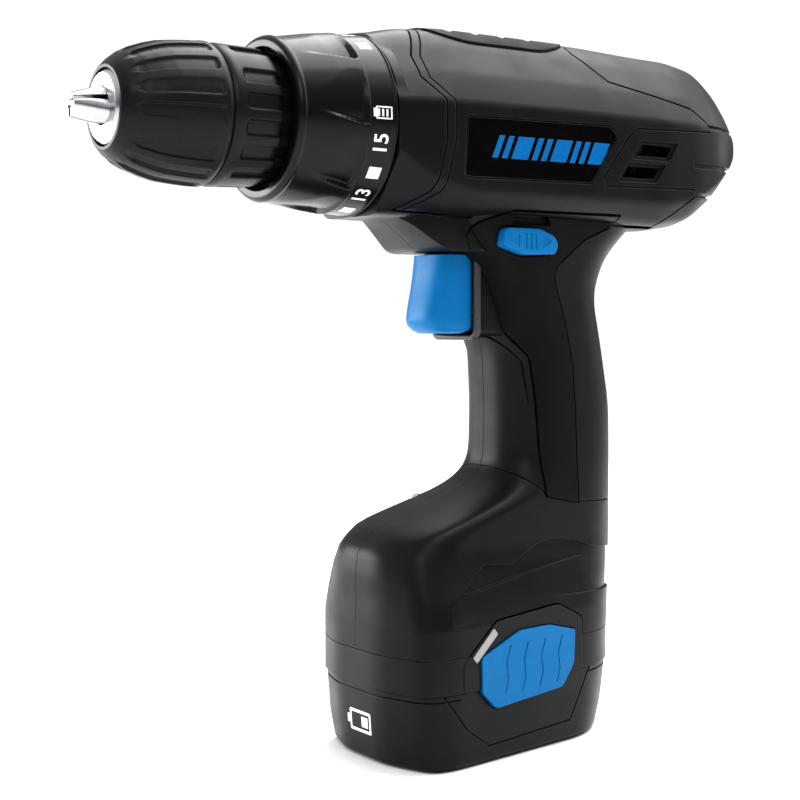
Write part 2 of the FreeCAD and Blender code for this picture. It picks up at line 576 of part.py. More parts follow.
def gear_outline(teeth, internal=False, phase=0.0):
    """The closed outline of an involute gear, in y and z, with one tooth centred on +Z at phase 0."""
    module = size("gear_module")
    pressure = math.radians(20)
    pitch = module * teeth / 2
    base = pitch * math.cos(pressure)
    tip = pitch + module * (1.15 if internal else 0.95)
    root = pitch - module * (0.9 if internal else 1.2)
    thin = size("backlash") / 2 / pitch
    half_pitch_tooth = math.pi / (2 * teeth) + (thin if internal else -thin)
    flank_zero = half_pitch_tooth + math.tan(pressure) - pressure
    start = max(base, root)
    roll_low = math.sqrt(max((start / base) ** 2 - 1, 0))
    roll_high = math.sqrt((tip / base) ** 2 - 1)
    steps = 5
    flank = []
    for step in range(steps + 1):
        roll = roll_low + (roll_high - roll_low) * step / steps
        radius, angle = involute_point(base, roll)
        flank.append((radius, flank_zero - angle))
    points = []
    for tooth in range(teeth):
        centre = phase + 2 * math.pi * tooth / teeth
        gap_side = math.pi / teeth
        points.append((root, centre - gap_side))
        points.append((root, centre - flank[0][1]))
        points += [(radius, centre - angle) for radius, angle in flank]
        points += [(radius, centre + angle) for radius, angle in reversed(flank)]
        points.append((root, centre + flank[0][1]))
    clean = []
    for radius, angle in points:
        point = Vector(0, -radius * math.sin(angle), radius * math.cos(angle))
        if not clean or point.distanceToPoint(clean[-1]) > 0.005:
            clean.append(point)
    return clean + [clean[0]]


def toothed(teeth, x0, x1, phase=0.0, internal=False):
    outline_wire = Part.makePolygon(gear_outline(teeth, internal, phase))
    blank = Part.Face(outline_wire).extrude(Vector(x1 - x0, 0, 0))
    blank.translate(Vector(x0, 0, 0))
    return blank


def planet_stage(stage, x_pins, x_planet):
    """Three planets; returns the pins they turn on.  A planet's tooth gaps face the sun's teeth."""
    module = size("gear_module")
    centre = module * (size("sun_teeth") + size("planet_teeth")) / 2
    width = size("planet_width")
    planets = int(size("planet_teeth"))
    pin = x_cylinder(size("pin_radius"), x_pins, x_planet + width + 0.2, 0, centre)
    for number in range(3):
        phase = math.pi / planets
        gear = toothed(planets, x_planet, x_planet + width, phase)
        gear = gear.cut(x_cylinder(size("pin_radius") + 0.05, x_planet - 1, x_planet + width + 1))
        gear.translate(Vector(0, 0, centre))
        gear.rotate(Vector(), Vector(1, 0, 0), 120.0 * number)
        shaped(f"planet_gear_{stage}_{'abc'[number]}", gear, on_axis=True)
    return around_axis(pin, 3)


def gearbox(gear_zone, barrel):
    sun = int(size("sun_teeth"))
    rings = int(size("ring_teeth"))
    x2 = size("carrier_2_x")
    w2 = size("carrier_2_width")
    x1 = size("carrier_1_x")
    w1 = size("carrier_1_width")
    planet_gap = 0.4
    pins = planet_stage(2, x2, x2 + w2 + planet_gap)
    disc = x_cylinder(size("carrier_radius"), x2, x2 + w2)
    hub = x_cylinder(size("spindle_seat") + 0.01, x2 - 1, x2 + w2 + 1)
    shaped("output_carrier", disc.cut(hub).multiFuse(pins), on_axis=True)

    pins = planet_stage(1, x1, x1 + w1 + planet_gap)
    disc = x_cylinder(size("carrier_radius"), x1, x1 + w1)
    second_sun = toothed(sun, x2 + w2 + 0.5, x1)
    shaped("first_carrier", disc.multiFuse(pins + [second_sun]), on_axis=True)
    pinion = toothed(sun, x1 + w1 + 0.5, size("plate_x") - 0.3)
    shaft_hole = x_cylinder(size("shaft_radius") + 0.01, -30, 5)
    shaped("motor_pinion", pinion.cut(shaft_hole), on_axis=True)

    spans = {"clutch_ring_gear": (size("ring_2_x"), size("ring_split_x") - 0.1),
             "fixed_ring_gear": (size("ring_split_x"), size("ring_1_end_x"))}
    half_tooth = math.pi / rings
    for label, (start, end) in spans.items():
        teeth = toothed(rings, start - 1, end + 1, half_tooth, internal=True)
        shaped(label, x_cylinder(size("case_bore") - 0.05, start, end).cut(teeth), on_axis=True)

    inner = turned("gear_case_barrel", [
        ("dims.nose_tube_x", "8.6"), ("dims.nose_tube_x", "dims.nose_tube_radius"),
        ("dims.case_front_x", "dims.nose_tube_radius"), ("dims.case_front_x", "dims.gear_case_bore - 0.1"),
        ("dims.case_rear_x", "dims.gear_case_bore - 0.1"), ("dims.case_rear_x", "dims.case_bore"),
        ("dims.case_front_x + dims.case_wall - 0.3", "dims.case_bore"),
        ("dims.case_front_x + dims.case_wall - 0.3", "8.6"),
        ("dims.bearing_x + dims.bearing_width", "8.6"),
        ("dims.bearing_x + dims.bearing_width", "dims.bearing_radius + 0.02"),
        ("dims.bearing_x", "dims.bearing_radius + 0.02"), ("dims.bearing_x", "8.6")])
    flange = common("gear_case_flange", [barrel, gear_zone])
    bore = cylinder("gear_case_clear", "dims.gear_case_bore - 0.2", "-55", "0", "X", "0", "dims.axis_height")
    cover = cut("gear_case_cover", flange, bore)
    pin_hole = x_cylinder(size("clutch_pin_radius") + 0.05, -55, -38, 0, size("clutch_pin_circle"))
    pin_holes = shaped("clutch_pin_holes", Part.makeCompound(around_axis(pin_hole, 6, 30.0)), on_axis=True)
    cut("gear_case", fuse("gear_case_solid", [inner, cover]), pin_holes)

    ring("gear_plate", "dims.plate_x", "dims.plate_x + dims.plate_width", "6.2", "dims.case_bore - 0.05")


def spindle():
    turned("spindle", [
        ("-89.8", "2.65"), ("-89.8", "6.3"), ("-71.9", "6.3"), ("-71.9", "8.2"),
        ("dims.bearing_x - 0.05", "8.2"), ("dims.bearing_x - 0.05", "dims.spindle_seat"),
        ("dims.carrier_2_x + dims.carrier_2_width - 0.2", "dims.spindle_seat"),
        ("dims.carrier_2_x + dims.carrier_2_width - 0.2", "0"), ("-78", "0"), ("-78", "2.65")])
    end = "dims.bearing_x + dims.bearing_width"
    ring("bearing_outer_ring", "dims.bearing_x + 0.05", end, "dims.bearing_pitch + dims.bearing_ball + 0.04",
         "dims.bearing_radius")
    ring("bearing_inner_ring", "dims.bearing_x + 0.05", end, "dims.spindle_seat + 0.01",
         "dims.bearing_pitch - dims.bearing_ball - 0.02")
    middle = size("bearing_x") + size("bearing_width") / 2
    ball = Part.makeSphere(size("bearing_ball"), Vector(middle, 0, size("bearing_pitch")))
    shaped("bearing_balls", Part.makeCompound(around_axis(ball, 11)), on_axis=True)


# ---------------------------------------------------------------- motor

def motor():
    rear = "dims.motor_x + dims.motor_length"
    turned("motor_can", [
        ("dims.motor_x", "3.3"), ("dims.motor_x", "dims.motor_radius"), (rear, "dims.motor_radius"),
        (rear, "dims.motor_radius - 1.4"), ("dims.motor_x + 1.4", "dims.motor_radius - 1.4"),
        ("dims.motor_x + 1.4", "3.3")])
    front = ring("front_bushing", "dims.motor_x", "dims.motor_x + 4", "dims.shaft_radius + 0.04", "3.28")
    back = ring("rear_bushing", rear + " + 1", rear + " + 5", "dims.shaft_radius + 0.04", "4")
    group("motor_bushings", [front, back])
    turned("motor_end_bell", [(rear, "9"), (rear, "dims.motor_radius"), (rear + " + 3", "dims.motor_radius"),
                              (rear + " + 5.5", "8"), (rear + " + 5.5", "4.05"), (rear + " + 0.6", "4.05"),
                              (rear + " + 0.6", "9")])
    turned("motor_shaft", [("dims.carrier_1_x + dims.carrier_1_width + 0.4", "0"),
                           ("dims.carrier_1_x + dims.carrier_1_width + 0.4", "dims.shaft_radius"),
                           ("dims.shaft_end_x", "dims.shaft_radius"), ("dims.shaft_end_x", "0")])
    core = x_cylinder(14.3, 5, 35).cut(x_cylinder(size("shaft_radius") + 0.01, 4, 36))
    slot = Part.makeBox(32, 2.4, 8, Vector(4, -1.2, 7))
    winding_room = Part.makeBox(32, 6.4, 5.2, Vector(4, -3.2, 7))
    slots = around_axis(slot, 5) + around_axis(winding_room, 5)
    shaped("rotor_core", core.cut(Part.makeCompound(slots)), on_axis=True)
    bundle = Part.makeBox(38, 6.0, 4.8, Vector(1, -3.0, 7.2))
    end_turns = [x_cylinder(12, 1, 4.8).cut(x_cylinder(3, 0, 6)),
                 x_cylinder(12, 35.2, 39).cut(x_cylinder(3, 34, 40))]
    windings = end_turns[0].multiFuse(around_axis(bundle, 5) + end_turns[1:])
    shaped("rotor_windings", windings, on_axis=True)
    bars = []
    for number in range(5):
        bar = Part.makeCylinder(4.6, 8.5, Vector(41, 0, 0), Vector(1, 0, 0), 68)
        bar = bar.cut(x_cylinder(size("shaft_radius") + 0.6, 40, 50))
        bar.rotate(Vector(), Vector(1, 0, 0), 72.0 * number)
        bars.append(bar)
    shaped("commutator", Part.makeCompound(bars), on_axis=True)
    magnet = Part.makeCylinder(16.5, 34, Vector(3, 0, 0), Vector(1, 0, 0), 130)
    magnet = magnet.cut(x_cylinder(14.8, 2, 38))
    magnet.rotate(Vector(), Vector(1, 0, 0), 25)
    shaped("motor_magnets", Part.makeCompound(around_axis(magnet, 2)), on_axis=True)
    brush = Part.makeBox(5, 3.2, 6.5, Vector(42.8, -1.6, 4.75))
    shaped("motor_brushes", Part.makeCompound(around_axis(brush, 2, 90.0)), on_axis=True)
    fan_x = size("fan_x")
    hub = x_cylinder(5, fan_x, fan_x + 6)
    disc = x_cylinder(size("fan_radius"), fan_x + 4.6, fan_x + 6)
    blade = Part.makeBox(5.0, 1.2, size("fan_radius") - 4.4, Vector(fan_x, -0.6, 4.2))
    fan = hub.multiFuse([disc] + around_axis(blade, 11))
    shaft_hole = x_cylinder(size("shaft_radius") + 0.01, fan_x - 1, fan_x + 8)
    shaped("cooling_fan", fan.cut(shaft_hole), on_axis=True)


# ---------------------------------------------------------------- trigger and switch

def switchgear():
    face = prism("trigger_face", TRIGGER_SIDE, "Y", "-dims.trigger_half", "dims.trigger_half")
    rounded = doc.addObject("Part::Fillet", "trigger_rounded")
    rounded.Base = face
    doc.recompute()
    edges = []
    for number, edge in enumerate(face.Shape.Edges, start=1):
        middle = edge.CenterOfMass
        if abs(middle.y) > size("trigger_half") - 0.1 and middle.x < -17 and middle.z < 158:
            edges.append((number, 4.0, 4.0))
    rounded.Edges = edges
    stem = box("trigger_stem", "-9", "dims.switch_x + 1.5", "-3", "3", "143", "150")
    fuse("trigger", [rounded, stem])
    body = box("switch_blank", "dims.switch_x", "dims.switch_x + dims.switch_length", "-dims.switch_half",
               "dims.switch_half", "dims.switch_z", "dims.switch_z + dims.switch_height")
    socket = box("switch_socket", "dims.switch_x - 1", "dims.switch_x + 10", "-3.3", "3.3", "142.7", "150.3")
    cut("switch_body", body, socket)
    spring = coil(size("switch_x") + 7.6 - 1.3, 5, 5.6, 0.5)
    spring.rotate(Vector(), Vector(0, 1, 0), 90)
    spring.translate(Vector(-7.6 + 0.65, 0, 146.5))
    shaped("trigger_spring", spring)
    prism("direction_selector", SELECTOR_SIDE, "Y", "-dims.selector_half", "dims.selector_half")
    block = box("terminal_holder", "13", "39", "-11", "11", "80.5", "91")
    blades = []
    for number, x in enumerate((18, 26, 34)):
        blades.append(box(f"terminal_blade_{number}", f"{x} - 0.4", f"{x} + 0.4", "-3", "3", "72.5", "81"))
    fuse("terminal_block", [block] + blades)


# ---------------------------------------------------------------- battery

def battery():
    count = len(BATTERY)
    lower = loft("lower_case_form", "XY_Plane", [plan_section("pack", n) for n in range(count)])
    sections = [plan_section("pack", 0, "dims.wall", "dims.wall")]
    sections += [plan_section("pack", n, "dims.wall") for n in range(1, count)]
    hollow = loft("lower_case_hollow", "XY_Plane", sections)
    upper = loft("upper_case_form", "XY_Plane", [
        plan_section("grip", 0, "0", "dims.battery_split_z + 0.1"),
        plan_section("grip", 0, "0", "dims.battery_top_z")])
    upper_hollow = loft("upper_case_hollow", "XY_Plane", [
        plan_section("grip", 0, "dims.wall", "dims.battery_split_z - 1"),
        plan_section("grip", 0, "dims.wall", "dims.battery_top_z - 2")])
    ear_zone = prism("ear_zone", EAR_SIDE, "Y", "-45", "45")
    ear_form = loft("ear_form", "XY_Plane", [
        plan_section("grip", 0, "0.2", "dims.battery_split_z + 0.1"), plan_section("grip", 0, "0.2", "50")])
    ear_core = loft("ear_core", "XY_Plane", [
        plan_section("grip", 0, "3.2", "20"), plan_section("grip", 0, "3.2", "55")])
    ears = common("battery_ears", [cut("ear_wall", ear_form, ear_core), ear_zone])
    cells = []
    sleeves = []
    rooms = []
    cell_top = "3 + dims.cell_length"
    for number, (x, y) in enumerate(CELL_PLACES):
        cells.append(cylinder(f"cell_{number}", "dims.cell_radius", "3", cell_top, "Z", x, y))
        sleeves.append(cylinder(f"cell_sleeve_{number}", "dims.cell_radius + 1.5", "dims.battery_top_z - 2",
                                cell_top + " + 2", "Z", x, y))
        rooms.append(cylinder(f"cell_room_{number}", "dims.cell_radius + 0.15", "dims.battery_top_z - 6",
                              cell_top + " + 0.5", "Z", x, y))
    group("battery_cells", cells)
    seats = [box("left_spring_seat", "-2", "6", "-18.3", "-16.5", "26", "dims.battery_top_z"),
             box("right_spring_seat", "-2", "6", "16.5", "18.3", "26", "dims.battery_top_z")]
    tower = box("battery_tower", "10", "39.5", "-dims.tower_half", "dims.tower_half", "dims.battery_top_z",
                "dims.tower_top_z")
    slots = []
    for number, x in enumerate((18, 26, 34)):
        slots.append(box(f"contact_slot_{number}", f"{x} - 1", f"{x} + 1", "-4", "4", "69", "90"))
    button_zone = prism("button_window", grown(BUTTON_SIDE, 0.35), "Y", "-45", "45")
    lower_shell = cut("lower_shell", lower, fuse("lower_openings", [hollow, button_zone]))
    upper_solid = fuse("upper_solid", [cut("upper_wall", upper, upper_hollow), ears, tower] + sleeves + seats)
    upper_shell = cut("upper_shell", upper_solid, fuse("upper_openings", [button_zone] + rooms + slots))
    screws = []
    holes = []
    posts = []
    for number, (x, y) in enumerate(((-32.5, 20), (-32.5, -20), (39, 8), (39, -8))):
        head = cylinder(f"pack_head_{number}", "dims.screw_head_radius", "0.8", "3.0", "Z", x, y)
        shank = cylinder(f"pack_shank_{number}", "dims.screw_radius", "3.0", "28", "Z", x, y)
        screws.append(fuse(f"pack_screw_{number}", [head, shank]))
        holes.append(cylinder(f"pack_well_{number}", "dims.screw_head_radius + 0.2", "-1", "1", "Z", x, y))
        posts.append(cylinder(f"pack_post_{number}", "dims.boss_radius - 0.6", "1", "23.9", "Z", x, y))
    group("battery_screws", screws)
    tools = fuse("pack_screw_tools", screws + holes)
    cut("battery_lower_case", fuse("lower_posted", [lower_shell] + posts), tools)
    cut("battery_upper_case", upper_shell, tools)
    release_buttons()


def release_buttons():
    zone = prism("button_zone", BUTTON_SIDE, "Y", "-45", "45")
    outer = loft("button_outer", "XY_Plane", [
        plan_section("grip", 0, "-0.9", "10"), plan_section("grip", 0, "-0.9", "50")])
    inner = loft("button_inner", "XY_Plane", [
        plan_section("grip", 0, "-0.9 + dims.button_thickness", "5"),
        plan_section("grip", 0, "-0.9 + dims.button_thickness", "55")])
    plates = common("button_plates", [cut("button_shell", outer, inner), zone])
    springs = []
    for side, sign, low, high in (("left", -1, "-45", "-8"), ("right", 1, "8", "45")):
        half = box(side + "_button_half", "-40", "40", low, high, "0", "60")
        common(side + "_release_button", [plates, half])
        spring = coil(2.5, 3, 2.6, 0.35)
        spring.rotate(Vector(), Vector(1, 0, 0), -90 * sign)
        spring.translate(Vector(2, sign * 18.7, 30))
        springs.append(spring)
    shaped("button_springs", Part.makeCompound(springs))


# ---------------------------------------------------------------- assembly and output

NODES = [
    "left_housing", "right_housing", "rear_cap", "label_plates", "left_soft_grip", "right_soft_grip",
    "top_grip_pad", "housing_screws", "gear_case", "gear_plate", "clutch_ring_gear", "fixed_ring_gear",
    "bearing_outer_ring", "clutch_pins", "clutch_washer", "motor_can", "motor_end_bell", "motor_magnets",
    "motor_brushes", "motor_bushings", "switch_body", "terminal_block", "chuck_body", "rear_sleeve",
    "chuck_screw", "spindle", "bearing_inner_ring", "bearing_balls", "output_carrier", "first_carrier",
    "motor_shaft", "motor_pinion", "rotor_core", "rotor_windings", "commutator", "cooling_fan",
    "front_sleeve", "jaw_nut", "torque_collar", "clutch_ring", "clutch_spring", "trigger", "trigger_spring",
    "direction_selector", "battery_upper_case", "battery_lower_case", "battery_cells", "battery_screws",
    "left_release_button", "right_release_button", "button_springs",
    "chuck_jaw_1", "chuck_jaw_2", "chuck_jaw_3", "planet_gear_1_a", "planet_gear_1_b", "planet_gear_1_c",
    "planet_gear_2_a", "planet_gear_2_b", "planet_gear_2_c"]


def build():
    fill_sheet()
    barrel, grip, chin = outer_forms()
    gear_zone = housing(barrel, grip, chin)
    chuck()
    torque_clutch()
    gearbox(gear_zone, barrel)
    spindle()
    motor()
    switchgear()
    battery()
    doc.recompute()


def write_steps():
    faults = [item.Label for item in doc.Objects if "Invalid" in item.State or "Error" in item.State]
    by_label = {item.Label: item for item in doc.Objects}
    for label in NODES:
        shape = by_label[label].Shape
        if shape.isNull() or not shape.isValid() or not shape.Solids:
            faults.append(label)
    if faults:
        raise RuntimeError("failed objects: " + ", ".join(faults))
    os.makedirs("parts", exist_ok=True)
    for label in NODES:
        by_label[label].Shape.exportStep(f"parts/{label}.step")


build()
write_steps()
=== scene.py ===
"""A cordless drill's looks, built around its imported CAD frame.

Shapes are given in millimetres in the frame's own axes: +Z up, the chuck towards -X, the drill's left
side towards -Y, and the drive axis AXIS_Z above the battery's flat base.
"""
import json
import math

import bmesh
import bpy
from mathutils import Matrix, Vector


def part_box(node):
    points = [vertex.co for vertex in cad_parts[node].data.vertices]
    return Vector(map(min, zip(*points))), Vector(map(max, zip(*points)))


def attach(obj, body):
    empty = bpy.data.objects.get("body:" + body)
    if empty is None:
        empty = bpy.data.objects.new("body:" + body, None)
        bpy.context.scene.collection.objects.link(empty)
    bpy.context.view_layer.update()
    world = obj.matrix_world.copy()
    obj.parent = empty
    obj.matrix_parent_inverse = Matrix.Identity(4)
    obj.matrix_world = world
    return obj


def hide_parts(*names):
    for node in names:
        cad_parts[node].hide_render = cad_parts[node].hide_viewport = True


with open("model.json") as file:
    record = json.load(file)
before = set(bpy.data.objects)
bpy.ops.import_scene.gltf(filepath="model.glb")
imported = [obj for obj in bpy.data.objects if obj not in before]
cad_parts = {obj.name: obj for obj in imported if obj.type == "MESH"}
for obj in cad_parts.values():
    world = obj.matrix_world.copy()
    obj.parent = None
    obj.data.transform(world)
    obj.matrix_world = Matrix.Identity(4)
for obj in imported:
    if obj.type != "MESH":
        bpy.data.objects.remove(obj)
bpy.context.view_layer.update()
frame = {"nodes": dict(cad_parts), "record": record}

MM = 0.001
SPINDLE_LOW, SPINDLE_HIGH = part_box("spindle")
AXIS_Z = (SPINDLE_LOW.z + SPINDLE_HIGH.z) / 2 / MM
SHARP = math.radians(32)

# Barrel stations: x, half width, height above and depth below the axis, then how far down the side the
# lower corner starts and where its chamfer ends, as shares of the half width and the depth.
BARREL = (
    (-48.0, 28.0, 28.0, 28.0, 0.35, 0.66, 0.80),
    (-36.0, 28.3, 30.7, 28.2, 0.62, 0.76, 0.90),
    (-20.0, 28.5, 31.8, 28.4, 0.74, 0.80, 0.93),
    (35.0, 28.5, 31.6, 28.8, 0.74, 0.80, 0.93),
    (60.0, 27.7, 30.5, 29.8, 0.72, 0.80, 0.93),
    (76.0, 26.0, 30.2, 27.5, 0.68, 0.80, 0.92),
    (88.0, 23.5, 28.2, 20.3, 0.62, 0.78, 0.90),
    (98.0, 18.8, 22.0, 11.5, 0.55, 0.76, 0.90),
    (107.0, 11.5, 12.5, 4.2, 0.50, 0.74, 0.90),
    (112.0, 4.5, 4.5, 1.8, 0.50, 0.74, 0.90),
)
# Foot and handle stations: height, front x, half width of the front flat, depth of the front corner,
# half width, depth of the rear corner, half width there, rear x, half width of the rear flat.
GRIP = (
    (35.2, -46.0, 12.0, 6.0, 31.5, 13.0, 20.5, 51.0, 9.0),
    (44.0, -46.0, 12.0, 6.0, 31.5, 13.0, 20.5, 51.3, 9.0),
    (52.5, -45.6, 11.5, 6.0, 29.5, 12.0, 19.2, 51.7, 9.0),
    (59.0, -45.8, 11.0, 6.5, 27.0, 12.0, 18.4, 52.0, 9.0),
    (66.0, -45.0, 10.0, 7.5, 25.0, 12.0, 17.8, 52.2, 9.0),
    (74.0, -37.5, 9.0, 8.0, 23.8, 12.0, 17.6, 52.3, 9.0),
    (80.0, -12.0, 9.0, 7.0, 21.5, 12.0, 17.4, 52.3, 9.0),
    (86.0, 1.0, 9.0, 6.0, 19.8, 11.5, 17.0, 52.3, 9.0),
    (92.0, 4.0, 8.0, 6.0, 18.5, 11.0, 17.0, 52.3, 9.0),
    (110.0, 4.4, 8.0, 6.0, 18.0, 11.0, 16.5, 52.0, 9.0),
    (130.0, 3.4, 8.0, 6.0, 18.0, 10.0, 16.5, 48.6, 8.0),
    (146.0, -3.0, 8.0, 6.0, 19.0, 10.0, 17.0, 45.0, 8.0),
    (152.5, -4.5, 9.0, 6.0, 19.6, 10.0, 17.4, 46.8, 8.0),
    (160.0, -14.0, 9.0, 6.5, 20.4, 10.0, 18.0, 50.0, 8.0),
    (173.0, -22.0, 9.0, 7.0, 22.0, 12.0, 20.0, 64.0, 9.0),
)
BATTERY = (
    (0.0, -43.0, 11.0, 6.0, 29.5, 13.0, 18.5, 46.8, 8.0),
    (10.0, -44.6, 11.5, 6.0, 30.6, 13.0, 19.3, 49.0, 8.5),
    (24.0, -45.5, 12.0, 6.0, 31.0, 13.0, 20.0, 50.5, 9.0),
)
GRIP_RADII = (5.0, 6.0, 5.0, 8.0, 6.0)
WALL = 2.5
SKIN = 1.5
SPLIT_Z = 24.0
TOP_Z = 35.0

# Outlines seen from the side, as (x, z)
GEAR_CASE_SIDE = ((-52, 235), (-30, 235), (-32, 229), (-38, 218), (-37.7, 211), (-31, 204.6), (-31, 192),
                  (-33, 184), (-35, 177), (-43, 171.5), (-43, 165), (-52, 165))
REAR_CAP_SIDE = ((27, 236), (29.3, 225), (38.8, 216), (73.7, 209.6), (80, 205.5), (82, 202), (45.4, 200.6),
                 (41.6, 197.6), (30.6, 183.6), (32.3, 181.3), (72.8, 182.2), (74.4, 180.7), (60, 169.9),
                 (60, 164), (116, 164), (116, 236))
CHIN_SIDE = ((-43, 175), (-43, 172.5), (-34, 168.5), (-22.5, 159.8), (-2, 159.8), (0, 175))
CHIN_PLAN = ((-46, -4), (-34, -12), (-23.5, -16.5), (2, -18), (2, 18), (-23.5, 16.5), (-34, 12), (-46, 4))
SOFT_GRIP_SIDE = ((-15.5, 165), (-13.6, 159), (-5.7, 147), (5, 133), (10.5, 126), (12.6, 112), (14.4, 81),
                  (29.2, 78), (28.5, 110), (27.2, 124), (23.8, 137), (18, 152), (19.5, 156), (31, 165),
                  (41, 169), (42, 172.5), (-2, 172.5), (-12, 169))
LABEL_SIDE = ((-23, 199.7), (33, 200.3), (36.5, 197.5), (25.6, 182.2), (-24.2, 182))
BUTTON_SIDE = ((-19, 34), (-2, 40.5), (12, 40.5), (24, 37.5), (23.5, 26.5), (18, 19.5), (-12.6, 17.4),
               (-18.6, 23))
EAR_SIDE = ((-26, 24), (-26, 33), (-12, 44.5), (16.5, 46.5), (28, 41), (28, 24))
SELECTOR_SIDE = ((-5.4, 166), (-4, 167.3), (9, 167.3), (15, 165), (16.5, 162.5), (15.5, 159.2), (3, 158.8),
                 (-5.4, 161.5))
RIDGE_SIDE = ((-30.5, 50.0), (-26, 53.2), (-3.8, 56.6), (15.8, 59.3), (32.8, 61.0), (60, 62.5), (60, 45),
              (-30.5, 45))
HOLLOW_SIDE = ((-28.4, 50.5), (-26, 53.5), (-14, 61.8), (-2, 60.8), (3, 63.2), (10.5, 66.6), (18.6, 67.6),
               (27.1, 66.3), (36, 63.4), (54, 61), (54, 48))

# Half of the top pad's outline from above, as (x, y)
TOP_PAD_PLAN = ((-27, 9), (-22, 13), (-14, 15), (17, 15), (26, 12), (30, 8))

# Screws: x and z, then how far out each housing screw's head sits; x and y of the battery's wells
HOUSING_SCREWS = ((11, 104, 11.2), (43, 104, 9.7), (40, 128, 10.2), (-10, 77.5, 16.2), (46.6, 64, 7.5))
BATTERY_SCREWS = ((-32.5, 20), (-32.5, -20), (39, 8), (39, -8))
CELL_PLACES = ((-24, -9.5), (-24, 9.5), (-8, 0))

# The trigger's front from the side, as (z, x)
TRIGGER_FRONT = ((133.9, -20.0), (137.0, -23.3), (140.0, -23.1), (143.5, -22.4), (147.5, -21.4),
                 (151, -20.7), (155, -20.1), (159, -19.6))
TRIGGER_LOW, TRIGGER_HEIGHT = 133.9, 25.1

# Chuck slots in degrees round the axis; the collar's scoops, number band and dial
SLOT_PITCH = 21.5
RIDGES = 8
BAND_FRONT, BAND_REAR = -57.2, -49.2
COLLAR_SIDE = ((-80.0, 21.9), (-80.0, 23.1), (-79.8, 23.8), (-79.2, 24.4), (-78.4, 24.7), (-77.7, 24.6),
               (-77.3, 24.3), (-66, 26.3), (BAND_FRONT - 0.6, 27.3), (BAND_FRONT, 26.9), (BAND_REAR, 27.6),
               (BAND_REAR + 0.3, 28.0), (-48.5, 28.0), (-48.3, 27.7))
DIAL_MARKS, DIAL_STEP = 17, 19.3


# ---------------------------------------------------------------- mesh helpers

def new_piece(name, points, faces):
    """A mesh object from points in millimetres; its normals face outwards."""
    mesh = bpy.data.meshes.new(name)
    mesh.from_pydata([Vector(point) * MM for point in points], [], faces)
    form = bmesh.new()
    form.from_mesh(mesh)
    bmesh.ops.recalc_face_normals(form, faces=form.faces)
    form.to_mesh(mesh)
    form.free()
    piece = bpy.data.objects.new(name, mesh)
    bpy.context.scene.collection.objects.link(piece)
    return piece


def apply_modifiers(piece):
    """The piece's mesh becomes what its modifiers make of it."""
    bpy.context.view_layer.update()
    graph = bpy.context.evaluated_depsgraph_get()
    mesh = bpy.data.meshes.new_from_object(piece.evaluated_get(graph))
    old = piece.data
    piece.modifiers.clear()
    piece.data = mesh
    bpy.data.meshes.remove(old)


def discard(*pieces):
    for piece in pieces:
        mesh = piece.data
        bpy.data.objects.remove(piece)
        if mesh.users == 0:
            bpy.data.meshes.remove(mesh)


def twin(piece, name):
    """A copy with a mesh of its own."""
    copy = bpy.data.objects.new(name, piece.data.copy())
    bpy.context.scene.collection.objects.link(copy)
    return copy


def combine(piece, tools, operation, keep=()):
    """Add, cut away or intersect tools one by one; tools outside keep are used up."""
    for tool in tools:
        step = piece.modifiers.new("boolean", "BOOLEAN")
        step.operation = operation
        step.solver = "MANIFOLD"
        step.object = tool
        apply_modifiers(piece)
        if tool not in keep:
            discard(tool)
    return piece


def add(piece, *tools, keep=()):
    return combine(piece, tools, "UNION", keep)


def cut(piece, *tools, keep=()):
    return combine(piece, tools, "DIFFERENCE", keep)


def common(piece, *tools, keep=()):
    return combine(piece, tools, "INTERSECT", keep)


def joined(pieces):
    """The first piece with all the others added to it."""
    return add(pieces[0], *pieces[1:])


def rounded(corners, radii, steps=4):
    """A closed outline whose corners are rounded; every corner gives the same number of points."""
    corners = [Vector(corner) for corner in corners]
    points = []
    for index, corner in enumerate(corners):
        before = corners[index - 1] - corner
        after = corners[(index + 1) % len(corners)] - corner
        radius = radii[index] if isinstance(radii, (list, tuple)) else radii
        before *= min(radius / before.length, 0.45)
        after *= min(radius / after.length, 0.45)
        for step in range(steps + 1):
            share = step / steps
            points.append(corner + before * (1 - share) ** 2 + after * share ** 2)
    return points


def offset(points, distance):
    """A closed outline moved outwards by a distance, or inwards by a negative one."""
    points = [Vector(point) for point in points]
    area = sum(a.x * b.y - b.x * a.y for a, b in zip(points, points[1:] + points[:1]))
    turn = 1 if area > 0 else -1
    moved = []
    for index, point in enumerate(points):
        first = (point - points[index - 1]).normalized()
        second = (points[(index + 1) % len(points)] - point).normalized()
        normal_1 = Vector((first.y, -first.x)) * turn
        normal_2 = Vector((second.y, -second.x)) * turn
        moved.append(point + (normal_1 + normal_2) * distance / max(0.3, 1 + normal_1.dot(normal_2)))
    return moved


def ribbon(points, width):
    """The outline of a band of a width that follows an open line."""
    points = [Vector(point) for point in points]
    sides = [[], []]
    for index, point in enumerate(points):
        ahead = points[min(index + 1, len(points) - 1)] - points[max(index - 1, 0)]
        normal = Vector((-ahead.y, ahead.x)).normalized() * width / 2
        sides[0].append(point + normal)
        sides[1].append(point - normal)
    return sides[0] + sides[1][::-1]


def loft(name, rings):
    """A closed solid through rings of as many points each."""
    count = len(rings[0])
    points = [point for ring in rings for point in ring]
    faces = [tuple(range(count)), tuple(range(len(points) - count, len(points)))]
    for level in range(len(rings) - 1):
        for index in range(count):
            following = (index + 1) % count
            base = level * count
            faces.append((base + index, base + following, base + count + following, base + count + index))
    return new_piece(name, points, faces)


